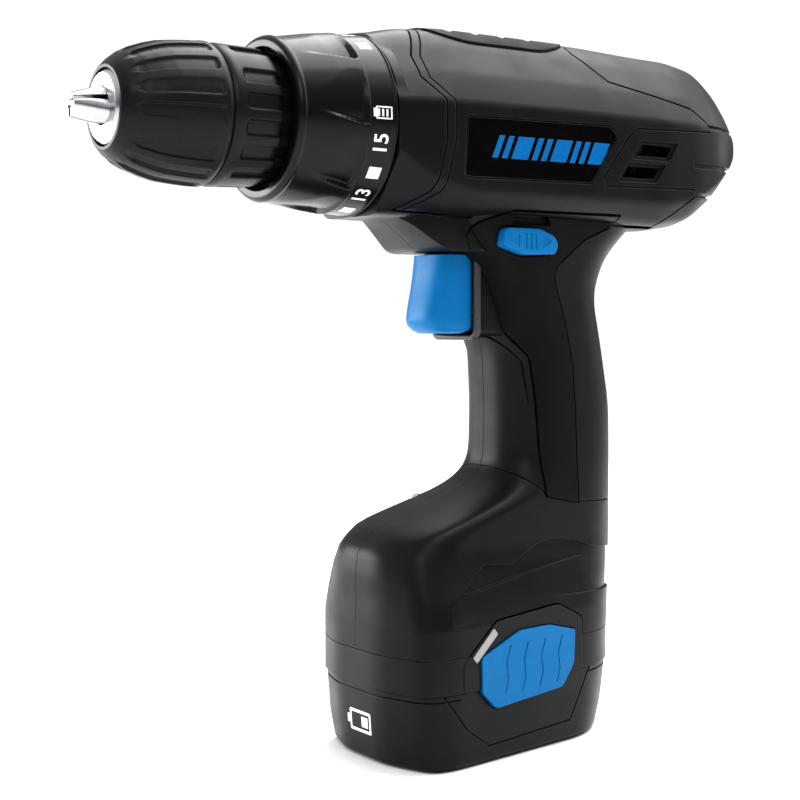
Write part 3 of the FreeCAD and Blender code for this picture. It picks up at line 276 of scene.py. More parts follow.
def prism(name, outline, axis, low, high):
    """An outline extruded along Y, where it holds (x, z), along Z, (x, y), or along X, (y, z)."""
    rings = []
    for level in (low, high):
        spots = {"X": [(level, a, b) for a, b in outline], "Y": [(a, level, b) for a, b in outline],
                 "Z": [(a, b, level) for a, b in outline]}
        rings.append(spots[axis])
    return loft(name, rings)


def block(name, x0, x1, y0, y1, z0, z1):
    return prism(name, ((x0, y0), (x1, y0), (x1, y1), (x0, y1)), "Z", z0, z1)


def rod(name, start, end, radius, segments=40):
    """A round bar between two points."""
    start, end = Vector(start), Vector(end)
    turn = (end - start).to_track_quat("Z", "Y")
    rings = []
    for middle in (start, end):
        angles = [2 * math.pi * index / segments for index in range(segments)]
        circle = [Vector((radius * math.cos(angle), radius * math.sin(angle), 0)) for angle in angles]
        rings.append([middle + turn @ point for point in circle])
    return loft(name, rings)


def bevel(piece, width, segments=3, angle=30):
    step = piece.modifiers.new("bevel", "BEVEL")
    step.width = width * MM
    step.segments = segments
    step.limit_method = "ANGLE"
    step.angle_limit = math.radians(angle)
    apply_modifiers(piece)
    return piece


def subdivided(points, step):
    """Points added along an open line so that none lies further than step from the next."""
    line = [points[0]]
    for (a, b), (c, d) in zip(points, points[1:]):
        count = max(1, math.ceil(math.hypot(c - a, d - b) / step))
        line += [(a + (c - a) * index / count, b + (d - b) * index / count) for index in range(1, count + 1)]
    return line


def turned(name, outside, inside, shape=None, segments=96, step=1.0):
    """A ring about the drive axis; lines of (x, radius). shape(x, angle) lowers the outside's radius."""
    outside = subdivided(outside, step) if shape else list(outside)
    points = []
    for index in range(segments):
        angle = 2 * math.pi * index / segments
        for number, (x, radius) in enumerate(outside + list(inside)[::-1]):
            if shape and number < len(outside):
                radius -= shape(x, angle)
            points.append((x, radius * math.sin(angle), AXIS_Z + radius * math.cos(angle)))
    count = len(outside) + len(inside)
    faces = []
    for index in range(segments):
        for number in range(count):
            here, there = index * count, (index + 1) % segments * count
            following = (number + 1) % count
            faces.append((here + number, here + following, there + following, there + number))
    return new_piece(name, points, faces)


def rounding(height, reach, depth):
    """How far a rounded lower edge lies inwards at a height above its foot."""
    if height >= reach:
        return 0.0
    return depth * (1 - math.sin(math.acos(1 - height / reach)))


def smooth_step(value, low, high):
    share = min(1.0, max(0.0, (value - low) / (high - low)))
    return share * share * (3 - 2 * share)


# ---------------------------------------------------------------- the housing's outer forms

def station(table, place, spread):
    """A station table's fields at a place, averaged over a spread so that slopes meet softly."""
    total = [0.0] * (len(table[0]) - 1)
    weights = 0.0
    for number in range(-4, 5):
        weight = 1 - (number / 5) ** 2
        spot = min(max(place + spread * number / 4, table[0][0]), table[-1][0])
        upper = next(index for index in range(1, len(table)) if spot <= table[index][0])
        first, second = table[upper - 1], table[upper]
        share = (spot - first[0]) / (second[0] - first[0])
        total = [t + weight * (a + (b - a) * share) for t, a, b in zip(total, first[1:], second[1:])]
        weights += weight
    return [value / weights for value in total]


def barrel_form(name, inset, low=-48.0, high=112.0):
    """The barrel, or the same form lying a distance further in."""
    rings = []
    count = round((high - low) / 1.6)
    for index in range(count + 1):
        x = low + (high - low) * index / count
        half, top, depth, corner, edge_y, edge_z = station(BARREL, x, 4.0)
        half, top, depth = half - inset, top - inset, depth - inset
        upright = [(0.35 * half, 0.97 * top), (0.56 * half, 0.80 * top), (0.81 * half, 0.50 * top),
                   (half, 0.19 * top), (half, -corner * depth), (edge_y * half, -edge_z * depth),
                   (0.5 * half, -depth)]
        corners = [(0, top)] + upright + [(-y, z) for y, z in reversed(upright)]
        radii = [6, 6, 2.5, 1.6, 1.6, 1.6, 2.5, 3] + [3, 2.5, 1.6, 1.6, 1.6, 2.5, 6]
        rings.append([(x, y, AXIS_Z + z) for y, z in rounded(corners, radii, 3)])
    return loft(name, rings)


def plan_ring(table, place, spread, inset, z=None):
    """The outline from above at one height of the foot, handle or battery."""
    front, flat, corner, half, rear_depth, rear_half, rear, rear_flat = station(table, place, spread)
    side = [(front + inset, flat - 0.4 * inset), (front + corner + inset, half - 1.5 - inset),
            (front + corner + 9, half - inset), (rear - rear_depth - inset, rear_half - inset),
            (rear - inset, rear_flat - 0.4 * inset)]
    corners = side + [(x, -y) for x, y in reversed(side)]
    outline = rounded(corners, GRIP_RADII + GRIP_RADII[::-1], 5)
    return [(x, y, place if z is None else z) for x, y in outline]


def grip_form(name, inset, low=35.2, high=173.0):
    """Foot and handle in one."""
    heights = [low]
    while heights[-1] < high:
        crisp = 40 < heights[-1] < 57
        heights.append(min(high, heights[-1] + (0.7 if crisp else 2.0)))
    rings = []
    for z in heights:
        spread = 0.9 if z < 58 else 0.9 + 5.1 * smooth_step(z, 62, 78)
        rings.append(plan_ring(GRIP, max(z, GRIP[0][0]), spread, inset, z))
    return loft(name, rings)


def outer_form(name, inset):
    """Barrel, chin, handle and foot together."""
    form = barrel_form(name, inset)
    chin = prism("chin", rounded(offset(CHIN_SIDE, -inset), 3.0), "Y", -30, 30)
    common(chin, prism("chin_plan", rounded(offset(CHIN_PLAN, -inset), 1.5), "Z", 150, 190))
    bevel(chin, 1.2, 3, 50)
    return add(form, grip_form("grip", inset), chin)


def build_shoulders(solid):
    """Each side of the foot ends in a ridge that climbs to the rear, under an arched hollow."""
    hollow = shell_between("hollow", grip_form, -1.0, 0.8)
    common(hollow, side_zone("hollow_zone", rounded(HOLLOW_SIDE, 1.2), "both"))
    rings = [plan_ring(GRIP, GRIP[0][0], 0.5, inset, z) for z, inset in ((44, 0.0), (66, 3.4))]
    ridge = common(loft("ridge", rings), side_zone("ridge_zone", RIDGE_SIDE, "both"))
    bevel(ridge, 2.2, 5, 50)
    cut(ridge, foot_prism("ridge_room", 7.0, 40, 70))
    cut(solid, hollow)
    return add(solid, ridge)


def foot_prism(name, inset, low, high):
    """A straight stretch of the foot's own section."""
    return loft(name, [plan_ring(GRIP, GRIP[0][0], 0.5, inset, z) for z in (low, high)])


def groove_walls():
    """Thin walls that stand on every panel line, as one solid."""
    gear_line = GEAR_CASE_SIDE[1:10]
    label = offset(LABEL_SIDE, 0.4)
    lines = [
        (gear_line, 0.55),
        ([(x + 3.2, z) for x, z in gear_line[1:9]], 0.45),
        (REAR_CAP_SIDE[:13], 0.55),
        (SOFT_GRIP_SIDE[:7], 0.7),
        (SOFT_GRIP_SIDE[7:15], 1.3),
        (SOFT_GRIP_SIDE[14:] + SOFT_GRIP_SIDE[:1], 0.8),
        ([(x - 2.0, z - 1.0) for x, z in SOFT_GRIP_SIDE[2:6]], 0.35),
        ([(-43, 171.5), (-24, 170.6), (-14, 170.2)], 0.5),
        ([(42, 172.5), (42.4, 169.6), (62, 169.4)], 0.7),
        ([(-6, 95.5), (2, 91), (14.4, 82), (29.2, 78.6), (56, 77.4)], 0.5),
        (label + label[:1], 0.5),
    ]
    walls = joined([prism("wall", ribbon(points, width), "Y", -45, 45) for points, width in lines])
    seam = block("seam", -47.9, 116, -0.07, 0.07, 36, 240)
    return add(walls, seam)


def side_zone(name, outline, side):
    """Everything within an outline on one side, or on both."""
    low, high = {"left": (-45, -8), "right": (8, 45), "both": (-45, 45)}[side]
    return prism(name, outline, "Y", low, high)


def build_housing():
    """One solid form, shared out among the two shells, rear cap, gear case and soft grips."""
    solid = outer_form("housing_solid", 0.0)
    cavity = barrel_form("cavity", WALL, -18, 106)
    lower = grip_form("grip_cavity", WALL, 30.0, 172.0)
    bore = rod("bore", (-50, 0, AXIS_Z), (60, 0, AXIS_Z), 26.0, 96)
    add(cavity, lower, bore)
    build_shoulders(solid)
    core = outer_form("core", 0.7)
    grooves = cut(groove_walls(), core)
    cut(solid, cavity, grooves)

    gear_zone = side_zone("gear_zone", GEAR_CASE_SIDE, "both")
    cap_zone = side_zone("cap_zone", REAR_CAP_SIDE, "both")
    gear_case = common(twin(solid, "gear_case_cover"), gear_zone, keep=(gear_zone,))
    rear_cap = common(twin(solid, "rear_vent_cap"), cap_zone, keep=(cap_zone,))

    barrel = barrel_form("barrel", 0.0)
    openings = [gear_zone, cap_zone]
    openings.append(block("trigger_mouth", -45, 8, -10.5, 10.5, 133.4, 159.6))
    selector_mouth = side_zone("selector_mouth", rounded(offset(SELECTOR_SIDE, 0.5), 1.2), "both")
    openings.append(selector_mouth)
    openings.append(side_zone("foot_notch", rounded(offset(EAR_SIDE, 0.5), 1.5), "both"))
    pad_zone = prism("pad_zone", pad_outline(), "Z", AXIS_Z + 15, 240)
    openings.append(pad_zone)
    label_zones = []
    soft_grips = []
    for side in ("left", "right"):
        zone = side_zone(side + "_label_zone", rounded(LABEL_SIDE, 1.0), side)
        label_zones.append(zone)
        label_skin = shell_between("label_skin", barrel_form, -0.5, SKIN)
        openings.append(common(twin(zone, "label_pocket"), label_skin))
        grip_skin = shell_between("grip_skin", grip_form, -0.35, SKIN)
        outline = rounded(offset(SOFT_GRIP_SIDE, -0.2), 1.5)
        soft = common(grip_skin, side_zone("soft_zone", outline, side))
        cut(soft, barrel, selector_mouth, block("trigger_room", -45, 8, -10.6, 10.6, 133.3, 159.7),
            keep=(barrel, selector_mouth))
        soft.name = side + "_soft_grip_cover"
        soft_grips.append(soft)
        pocket = shell_between("soft_pocket_skin", grip_form, -0.6, SKIN + 0.05)
        openings.append(common(pocket, side_zone("soft_pocket", rounded(SOFT_GRIP_SIDE, 1.5), side)))
    cut(solid, *openings, *screw_access(), keep=(pad_zone, selector_mouth, cap_zone, gear_zone))
    halves = []
    for side, low, high in (("left", -45, 0), ("right", 0, 45)):
        half = twin(solid, side + "_shell")
        halves.append(common(half, block("half", -60, 120, low, high, 20, 245)))
    discard(solid)

    build_rear_cap(rear_cap, pad_zone)
    build_gear_case(gear_case)
    pad = build_top_pad()
    labels = build_labels(label_zones)
    recess_side = [(0, 171.3), (13.5, 171.3), (15.5, 168.4), (-1.5, 168.4)]
    recess = side_zone("selector_recess", rounded(recess_side, 0.8), "both")
    cut(recess, grip_form("recess_floor", 1.3))
    for soft, side in zip(soft_grips, ("left", "right")):
        cut(soft, recess, keep=(recess,))
        place(soft, "housing", "soft_grip_rubber", side + "_soft_grip")
    for half, side in zip(halves, ("left", "right")):
        place(half, "housing", "housing_plastic", side + "_housing")
    place(rear_cap, "housing", "housing_plastic", "rear_cap")
    place(gear_case, "housing", "gear_case_plastic", "gear_case")
    place(pad, "housing", "soft_grip_rubber", "top_grip_pad")
    place(labels, "housing", "label_gloss", "label_plates")
    discard(recess, selector_mouth, pad_zone, barrel, gear_zone, cap_zone)


def shell_between(name, maker, outer_inset, inner_inset):
    """The skin of a form between two distances in from its surface."""
    return cut(maker(name, outer_inset), maker("inner", inner_inset))


def screw_access():
    """The wells that the five housing screws' heads sit in, on the right side."""
    return [rod("screw_well", (x, reach, z), (x, 40, z), 3.1) for x, z, reach in HOUSING_SCREWS]


def build_rear_cap(cap, pad_zone):
    """Three grooves round the cap's tail and two framed vents on each side."""
    cut(cap, pad_zone, keep=(pad_zone,))
    grooves = []
    for z in (203.6, 190.2, 180.6):
        section = [(-50, z - 0.8), (50, z - 0.8), (50, z + 0.8), (-50, z + 0.8)]
        grooves.append(prism("rib", rounded(section, 0.3), "X", 73, 115))
    cut(cap, cut(joined(grooves), barrel_form("rib_floor", 0.9)))
    for x, z in ((45.5, 192.0), (39.5, 184.6)):
        slot = [(x, z), (x + 14.5, z), (x + 17.0, z + 3.8), (x + 2.5, z + 3.8)]
        frame_cut = side_zone("vent_frame", rounded(offset(slot, 1.3), 1.2), "both")
        cut(frame_cut, barrel_form("vent_floor", 0.8))
        cut(cap, frame_cut, side_zone("vent", rounded(slot, 0.8), "both"))


def build_gear_case(case):
    """The cover's front wall and the nose tube that carries the clutch."""
    nose = turned("nose", [(-70.5, 16.4), (-69.9, 17.0), (-47.5, 17.0), (-47.5, 27.4), (-44.0, 27.4)],
                  [(-70.5, 14.2), (-44.0, 14.2)])
    add(case, nose)


def pad_outline():
    return rounded(list(TOP_PAD_PLAN) + [(x, -y) for x, y in reversed(TOP_PAD_PLAN)], 4)


def build_top_pad():
    """A rubber pad with four slanting scoops across its crown."""
    pad = shell_between("top_pad", barrel_form, -0.55, SKIN)
    common(pad, prism("pad_shape", offset(pad_outline(), -0.25), "Z", AXIS_Z + 15, 240))
    for number in range(4):
        x = -13 + 10.5 * number
        start, end = Vector((x - 4.5, -11.5, AXIS_Z + 32.5)), Vector((x + 4.5, 11.5, AXIS_Z + 32.5))
        scoop = rod("scoop", start, end, 2.3, 32)
        cut(pad, bevel(scoop, 1.2, 3, 60))
    return pad


def build_labels(zones):
    """Glossy plates sunk below the barrel's faces."""
    plates = joined([common(shell_between("label_plate", barrel_form, 0.45, SKIN), zone) for zone in zones])
    plates.name = "gloss_label_plates"
    return plates


# ---------------------------------------------------------------- chuck and collar

def slot_depth(x, angle, middle, start, end, depth, taper):
    """Three sets of five slots; each set is centred a number of degrees above the left side's level."""
    turn = (math.degrees(angle) + 90 - middle + 60) % 120 - 60
    number = max(-2, min(2, round(turn / SLOT_PITCH)))
    ends = smooth_step(x, start, start + taper) * (1 - smooth_step(x, end - 1.0, end))
    width = 6.9 * (0.45 + 0.55 * ends)
    return depth * ends * (1 - smooth_step(abs(turn - SLOT_PITCH * number), width * 0.8, width))


def build_chuck():
    def front(x, angle):
        return slot_depth(x, angle, 37.0, -127.0, -101.2, 0.85, 4.0)

    def rear(x, angle):
        return slot_depth(x, angle, -15.0, -94.8, -70.0, 1.1, 1.2)

    sleeve = turned("front_chuck_sleeve", [
        (-129.4, 11.0), (-129.4, 11.9), (-129.0, 12.5), (-127.5, 14.1), (-125, 16.0), (-122, 17.5),
        (-118, 18.9), (-114, 19.9), (-109, 20.5), (-104, 20.9), (-100.2, 21.0), (-99.4, 20.7), (-98.6, 20.2),
        (-98.6, 18.2)],
        [(-129.4, 11.0), (-126, 11.0), (-120, 15.6), (-113.6, 15.6), (-113, 18.2), (-98.6, 18.2)],
        front, 480, 0.6)
    place(sleeve, "chuck_sleeve", "sleeve_plastic", "front_sleeve")
    back = turned("rear_chuck_sleeve", [
        (-98.2, 17.55), (-98.2, 20.1), (-97.4, 20.6), (-96.6, 20.8), (-84.4, 20.5), (-83.0, 20.3),
        (-82.4, 19.9), (-82.2, 19.35), (-82.0, 18.9), (-74.4, 18.7), (-74.0, 18.4), (-74.0, 17.55)],
        [(-98.2, 17.55), (-74.0, 17.55)], rear, 480, 0.6)
    place(back, "output", "sleeve_plastic", "rear_sleeve")


def collar_radius(x):
    for (a, b), (c, d) in zip(COLLAR_SIDE, COLLAR_SIDE[1:]):
        if a <= x <= c and c > a:
            return b + (d - b) * (x - a) / (c - a)
    return COLLAR_SIDE[-1][1]


def collar_grip(x, angle):
    """Long shallow scoops that widen towards the numbers, each steeper on its lower side."""
    if not -76 < x < BAND_FRONT - 0.8:
        return 0.0
    reach = smooth_step(x, -76, -61)
    pitch = 2 * math.pi / RIDGES
    place_across = ((angle + math.radians(3) + 0.09 * (x + 66) / 10) / pitch) % 1.0
    width = 0.25 + 0.55 * reach
    if place_across > width:
        return 0.0
    slope = smooth_step(place_across, 0.0, 0.05) * (1 - place_across / width)
    ends = 1 - smooth_step(x, BAND_FRONT - 2.0, BAND_FRONT - 0.8)
    return 1.7 * reach * slope * ends


def build_collar():
    inside = [(-80.0, 21.3), (-73.2, 21.3), (-73.2, 17.1), (-69.2, 17.1), (-69.2, 24.8), (-48.3, 24.8)]
    collar = turned("torque_collar_ring", COLLAR_SIDE, inside, collar_grip, 432, 0.8)
    place(collar, "torque_collar", "collar_plastic", "torque_collar")
    for item in range(DIAL_MARKS):
        angle = math.radians(-88 - DIAL_STEP * item)
        if item == 0:
            forms = [strips(-1.9, 1.9, -3.0, 2.4, 0.55), strips(-1.3, 1.3, 2.4, 3.3, 2.6)]
            forms += [strips(-1.1, 1.1, low, low + 0.7, 2.2) for low in (-1.6, -0.2, 1.2)]
        elif item % 2:
            forms = [text_mesh(str(16 - item), 6.6)]
        else:
            forms = [strips(-2.0, 2.0, -2.1, 2.1, 4.0)]
        for number, form in enumerate(forms):
            mark = wrapped(f"dial_mark_{item}_{number}", form, angle)
            ride_only(mark, "torque_collar", "white_ink")


def strips(left, right, low, high, border):
    """A flat frame of a border's width, or a filled box if the border closes it, fine enough to bend."""
    form = bmesh.new()
    columns = [left + (right - left) * number / 8 for number in range(9)]
    rows = [low, high]
    if border < (high - low) / 2:
        rows[1:1] = [min(low + border, high), max(high - border, low)]
    for first, second in zip(columns, columns[1:]):
        for bottom, top in zip(rows, rows[1:]):
            middle = (first + second) / 2
            hollow = len(rows) == 4 and bottom == rows[1] and left + border < middle < right - border
            if not hollow:
                form.faces.new([form.verts.new((a, b, 0)) for a, b in
                                ((first, bottom), (second, bottom), (second, top), (first, top))])
    bmesh.ops.remove_doubles(form, verts=form.verts, dist=0.001)
    return form


def text_mesh(text, size):
    curve = bpy.data.curves.new("number", "FONT")
    curve.body = text
    curve.size = size
    curve.align_x = "CENTER"
    curve.align_y = "CENTER"
    curve.offset = 0.12
    carrier = bpy.data.objects.new("number", curve)
    bpy.context.scene.collection.objects.link(carrier)
    bpy.context.view_layer.update()
    graph = bpy.context.evaluated_depsgraph_get()
    mesh = bpy.data.meshes.new_from_object(carrier.evaluated_get(graph))
    bpy.data.objects.remove(carrier)
    bpy.data.curves.remove(curve)
    form = bmesh.new()
    form.from_mesh(mesh)
    bpy.data.meshes.remove(mesh)
    return form


def wrapped(name, form, angle):
    """A flat mark bent round the collar's number band; its top points to the chuck."""
    bmesh.ops.triangulate(form, faces=form.faces)
    middle = (BAND_FRONT + BAND_REAR) / 2
    solid = bmesh.ops.extrude_face_region(form, geom=form.faces[:])
    raised = {item for item in solid["geom"] if isinstance(item, bmesh.types.BMVert)}
    for vert in form.verts:
        x = middle - vert.co.y
        radius = collar_radius(x) + (0.06 if vert in raised else -0.1)
        turn = angle + vert.co.x / radius
        vert.co = Vector((x, radius * math.sin(turn), AXIS_Z + radius * math.cos(turn))) * MM
    bmesh.ops.recalc_face_normals(form, faces=form.faces)
    mesh = bpy.data.meshes.new(name)
    form.to_mesh(mesh)
    form.free()
    mark = bpy.data.objects.new(name, mesh)
    bpy.context.scene.collection.objects.link(mark)
    return mark


# ---------------------------------------------------------------- trigger and selector

def build_trigger():
    rings = []
    for index in range(27):
        z = TRIGGER_LOW + TRIGGER_HEIGHT * index / 26
        edge = station(TRIGGER_FRONT, z, 1.6)[0]
        squeeze = rounding(z - TRIGGER_LOW, 2.8, 2.6)
        half = 10.0 - squeeze
        corners = [(edge + squeeze * 0.5, -half), (-7.6 - squeeze, -half), (-7.6 - squeeze, half),
                   (edge + squeeze * 0.5, half)]
        rings.append([(x, y, z) for x, y in rounded(corners, [8.8, 1.6, 1.6, 8.8], 12)])
    trigger = loft("trigger_blade", rings)
    add(trigger, block("stem", -9, 4.5, -3, 3, 143, 150))
    place(trigger, "trigger", "blue_plastic", "trigger")

    opening = rounded([(-10.55, 133.5), (10.55, 133.5), (10.55, 159.7), (-10.55, 159.7)], 1.8)
    # The bezel's grey plastic is painted sheen: it is lighter than the housing to stand for the light its face
    # catches.
    for name, margin, front, back, plastic_and_painted_sheen in (("trigger_bezel", 1.7, -8.4, -5.9, "rim_painted_sheen_plastic"),
                                              ("trigger_sleeve", 0.45, -6.1, 4.0, "housing_plastic")):
        rim = prism(name, offset(opening, margin), "X", front, back)
        cut(rim, prism("rim_hole", opening, "X", -12, 6))
        if margin > 1:
            bevel(rim, 0.6, 3, 50)
        ride_only(rim, "housing", plastic_and_painted_sheen)


def build_selector():
    bar = prism("direction_selector_bar", rounded(SELECTOR_SIDE, 1.4), "Y", -23.6, 23.6)
    bevel(bar, 0.7, 3, 50)
    for side in (-1, 1):
        for tip, foot in ((-3.2, 0.6), (13.6, 9.8)):
            corners = [(tip, 163.2), (foot, 165.2), (foot, 161.2)]
            cut(bar, prism("arrow", corners, "Y", 23.3 * side, 24.0 * side))
        for x in (3.2, 5.2, 7.2):
            cut(bar, block("ridge", x - 0.35, x + 0.35, *sorted((23.3 * side, 24.0 * side)), 160.8, 165.6))
    place(bar, "selector", "blue_plastic", "direction_selector")


# ---------------------------------------------------------------- battery

def lower_form(name, inset, low, high):
    """The battery's base, rounded where it meets the ground."""
    rings = []
    for index in range(33):
        z = low + (high - low) * index / 32
        inward = inset + rounding(z - low, 2.0, 1.8)
        rings.append(plan_ring(BATTERY, min(max(z, 0), SPLIT_Z), 3.0, inward, z))
    return loft(name, rings)


def button_window(margin):
    return side_zone("button_window", rounded(offset(BUTTON_SIDE, margin), 1.2), "both")


def build_battery():
    """The base and top cases; the top one has the ears, the tower with its slots and the cells' sleeves."""
    lower = lower_form("battery_base_case", 0.0, 0.0, SPLIT_Z - 0.15)
    cut(lower, lower_form("base_room", WALL, WALL, SPLIT_Z + 1))
    relief = [(-34, 24.5), (-24, 12), (-14, 5.5), (24, 7.0), (33, 24.5)]
    lines = prism("relief", ribbon(relief, 0.6), "Y", -45, 45)
    add(lines, prism("collar_line", ribbon([(-60, 22.2), (-27, 22.2)], 0.5), "Y", -45, 45),
        prism("collar_line_rear", ribbon([(31.5, 22.2), (60, 22.2)], 0.5), "Y", -45, 45))
    cut(lines, lower_form("line_floor", 0.55, 0.0, SPLIT_Z + 2))
    wells = [rod("well", (x, y, -1), (x, y, 1), 3.0) for x, y in BATTERY_SCREWS]
    cut(lower, lines, button_window(0.35), *wells)
    plate = prism("rating_recess", rounded([(-25, -15), (25, -12), (25, 12), (-25, 15)], 3), "Z", -1, 0.4)
    cut(lower, plate)
    place(lower, "battery", "battery_plastic", "battery_lower_case")

    upper = foot_prism("battery_top_case", 0.0, SPLIT_Z + 0.1, TOP_Z)
    cut(upper, foot_prism("top_room", WALL, SPLIT_Z - 1, TOP_Z - 2))
    ears = foot_prism("ears", -0.25, SPLIT_Z + 0.1, 50)
    cut(ears, foot_prism("ear_room", 3.2, 20, 55))
    common(ears, side_zone("ear_zone", rounded(EAR_SIDE, 1.5), "both"))
    tower = bevel(block("tower", 10, 39.5, -12, 12, TOP_Z - 1, 79), 1.5, 3)
    add(upper, ears, tower)
    for x, y in CELL_PLACES:
        add(upper, bevel(rod("cell_sleeve", (x, y, TOP_Z - 2), (x, y, 70), 10.7, 64), 0.8, 3))
    for x, y in CELL_PLACES:
        cut(upper, rod("cell_room", (x, y, TOP_Z - 6), (x, y, 68.5), 9.35, 64))
    for x in (18, 26, 34):
        cut(upper, block("slot", x - 1, x + 1, -4, 4, 69, 90))
    cut(upper, button_window(0.35))
    place(upper, "battery", "battery_plastic", "battery_upper_case")
    build_buttons()
    build_painted_highlight_bars()


def build_buttons():
    """Release buttons that follow the foot's own curve, each with four wavy grooves."""
    for side in ("left", "right"):
        button = foot_prism(side + "_release_key", -0.9, 10, 50)
        cut(button, foot_prism("button_room", 3.1, 5, 55))
        common(button, side_zone("zone", rounded(BUTTON_SIDE, 1.2), side))
        waves = []
        for x in (-9.0, -1.0, 7.0, 15.0):
            line = [(x, 21.5), (x + 1.5, 26), (x + 0.5, 31), (x + 2.5, 36.5)]
            waves.append(prism("wave", ribbon(line, 0.9), "Y", -45, 45))
        cut(button, cut(joined(waves), foot_prism("wave_floor", -0.7, 5, 55)))
        place(button, side + "_button", "blue_plastic", side + "_release_button")


def build_painted_highlight_bars():
    """A pale grey sloping sheet beside each release button: a painted highlight that stands for a bevel catching
    the light.
    """
    for side in ("left", "right"):
        bar = foot_prism(side + "_painted_highlight_bar", -0.45, 20, 50)
        cut(bar, foot_prism("bar_room", 1.0, 18, 55))
        outline = [(-22.6, 34.5), (-13.4, 42.6), (-11.6, 40.6), (-20.8, 32.6)]
        common(bar, side_zone("bar_zone", rounded(outline, 0.5), side))
        ride_only(bar, "battery", "painted_bevel_highlight")


# ---------------------------------------------------------------- materials

MATERIALS = {}


def noise(tree, scale, detail, stretch=(1, 1, 1)):
    coordinates = tree.nodes.new("ShaderNodeTexCoord")
    mapping = tree.nodes.new("ShaderNodeMapping")
    mapping.inputs["Scale"].default_value = stretch
    texture = tree.nodes.new("ShaderNodeTexNoise")
    texture.inputs["Scale"].default_value = scale
    texture.inputs["Detail"].default_value = detail
    tree.links.new(coordinates.outputs["Object"], mapping.inputs["Vector"])
    tree.links.new(mapping.outputs["Vector"], texture.inputs["Vector"])
    return texture.outputs["Fac"]


def ranged(tree, value, low, high, start=0.3, end=0.7):
    node = tree.nodes.new("ShaderNodeMapRange")
    node.inputs["From Min"].default_value = start
    node.inputs["From Max"].default_value = end
    node.inputs["To Min"].default_value = low
    node.inputs["To Max"].default_value = high
    tree.links.new(value, node.inputs["Value"])
    return node.outputs["Result"]


def mixed(tree, factor, first, second):
    node = tree.nodes.new("ShaderNodeMix")
    node.data_type = "RGBA"
    for socket, value in (("A", first), ("B", second)):
        target = next(item for item in node.inputs if item.name == socket and item.type == "RGBA")
        if isinstance(value, tuple):
            target.default_value = value + (1.0,)
        else:
            tree.links.new(value, target)
    tree.links.new(factor, node.inputs["Factor"])
    return next(item for item in node.outputs if item.type == "RGBA")


def edge_mask(tree, radius):
    """Bright where the surface turns sharply within a radius."""
    soft = tree.nodes.new("ShaderNodeBevel")
    soft.samples = 4
    soft.inputs["Radius"].default_value = radius * MM
    flat = tree.nodes.new("ShaderNodeNewGeometry")
    product = tree.nodes.new("ShaderNodeVectorMath")
    product.operation = "DOT_PRODUCT"
    tree.links.new(soft.outputs["Normal"], product.inputs[0])
    tree.links.new(flat.outputs["Normal"], product.inputs[1])
    return soft, ranged(tree, product.outputs["Value"], 1.0, 0.0, 0.80, 0.98)


def surface(name, colour, second, roughness, metallic=0.0, grain=1800.0, depth=0.02, edge=None,
            stretch=(1, 1, 1), specular=0.5):
    """A shader with broad colour changes, fine grain in its bump, uneven gloss and worn edges."""
    material = bpy.data.materials.new(name)
    material.use_nodes = True
    tree = material.node_tree
    shader = tree.nodes["Principled BSDF"]
    patches = noise(tree, 35.0, 4.0)
    fine = noise(tree, grain, 3.0, stretch)
    tint = mixed(tree, ranged(tree, patches, 0.0, 1.0), colour, second)
    speck = tuple(min(1.0, value * 1.7 + 0.004) for value in colour)
    tint = mixed(tree, ranged(tree, fine, 0.0, 0.35), tint, speck)
    soft, worn = edge_mask(tree, 0.45)
    if edge:
        strength = tree.nodes.new("ShaderNodeMath")
        strength.operation = "MULTIPLY"
        tree.links.new(worn, strength.inputs[0])
        tree.links.new(ranged(tree, noise(tree, 160.0, 3.0), 0.15, 0.9), strength.inputs[1])
        tint = mixed(tree, strength.outputs["Value"], tint, edge)
    tree.links.new(tint, shader.inputs["Base Color"])
    gloss = ranged(tree, noise(tree, 90.0, 5.0), *roughness)
    tree.links.new(gloss, shader.inputs["Roughness"])
    shader.inputs["Metallic"].default_value = metallic
    shader.inputs["Specular IOR Level"].default_value = specular
    bump = tree.nodes.new("ShaderNodeBump")
    bump.inputs["Strength"].default_value = 0.5
    bump.inputs["Distance"].default_value = depth * MM
    tree.links.new(fine, bump.inputs["Height"])
    tree.links.new(soft.outputs["Normal"], bump.inputs["Normal"])
    tree.links.new(bump.outputs["Normal"], shader.inputs["Normal"])
    MATERIALS[name] = material
    return material


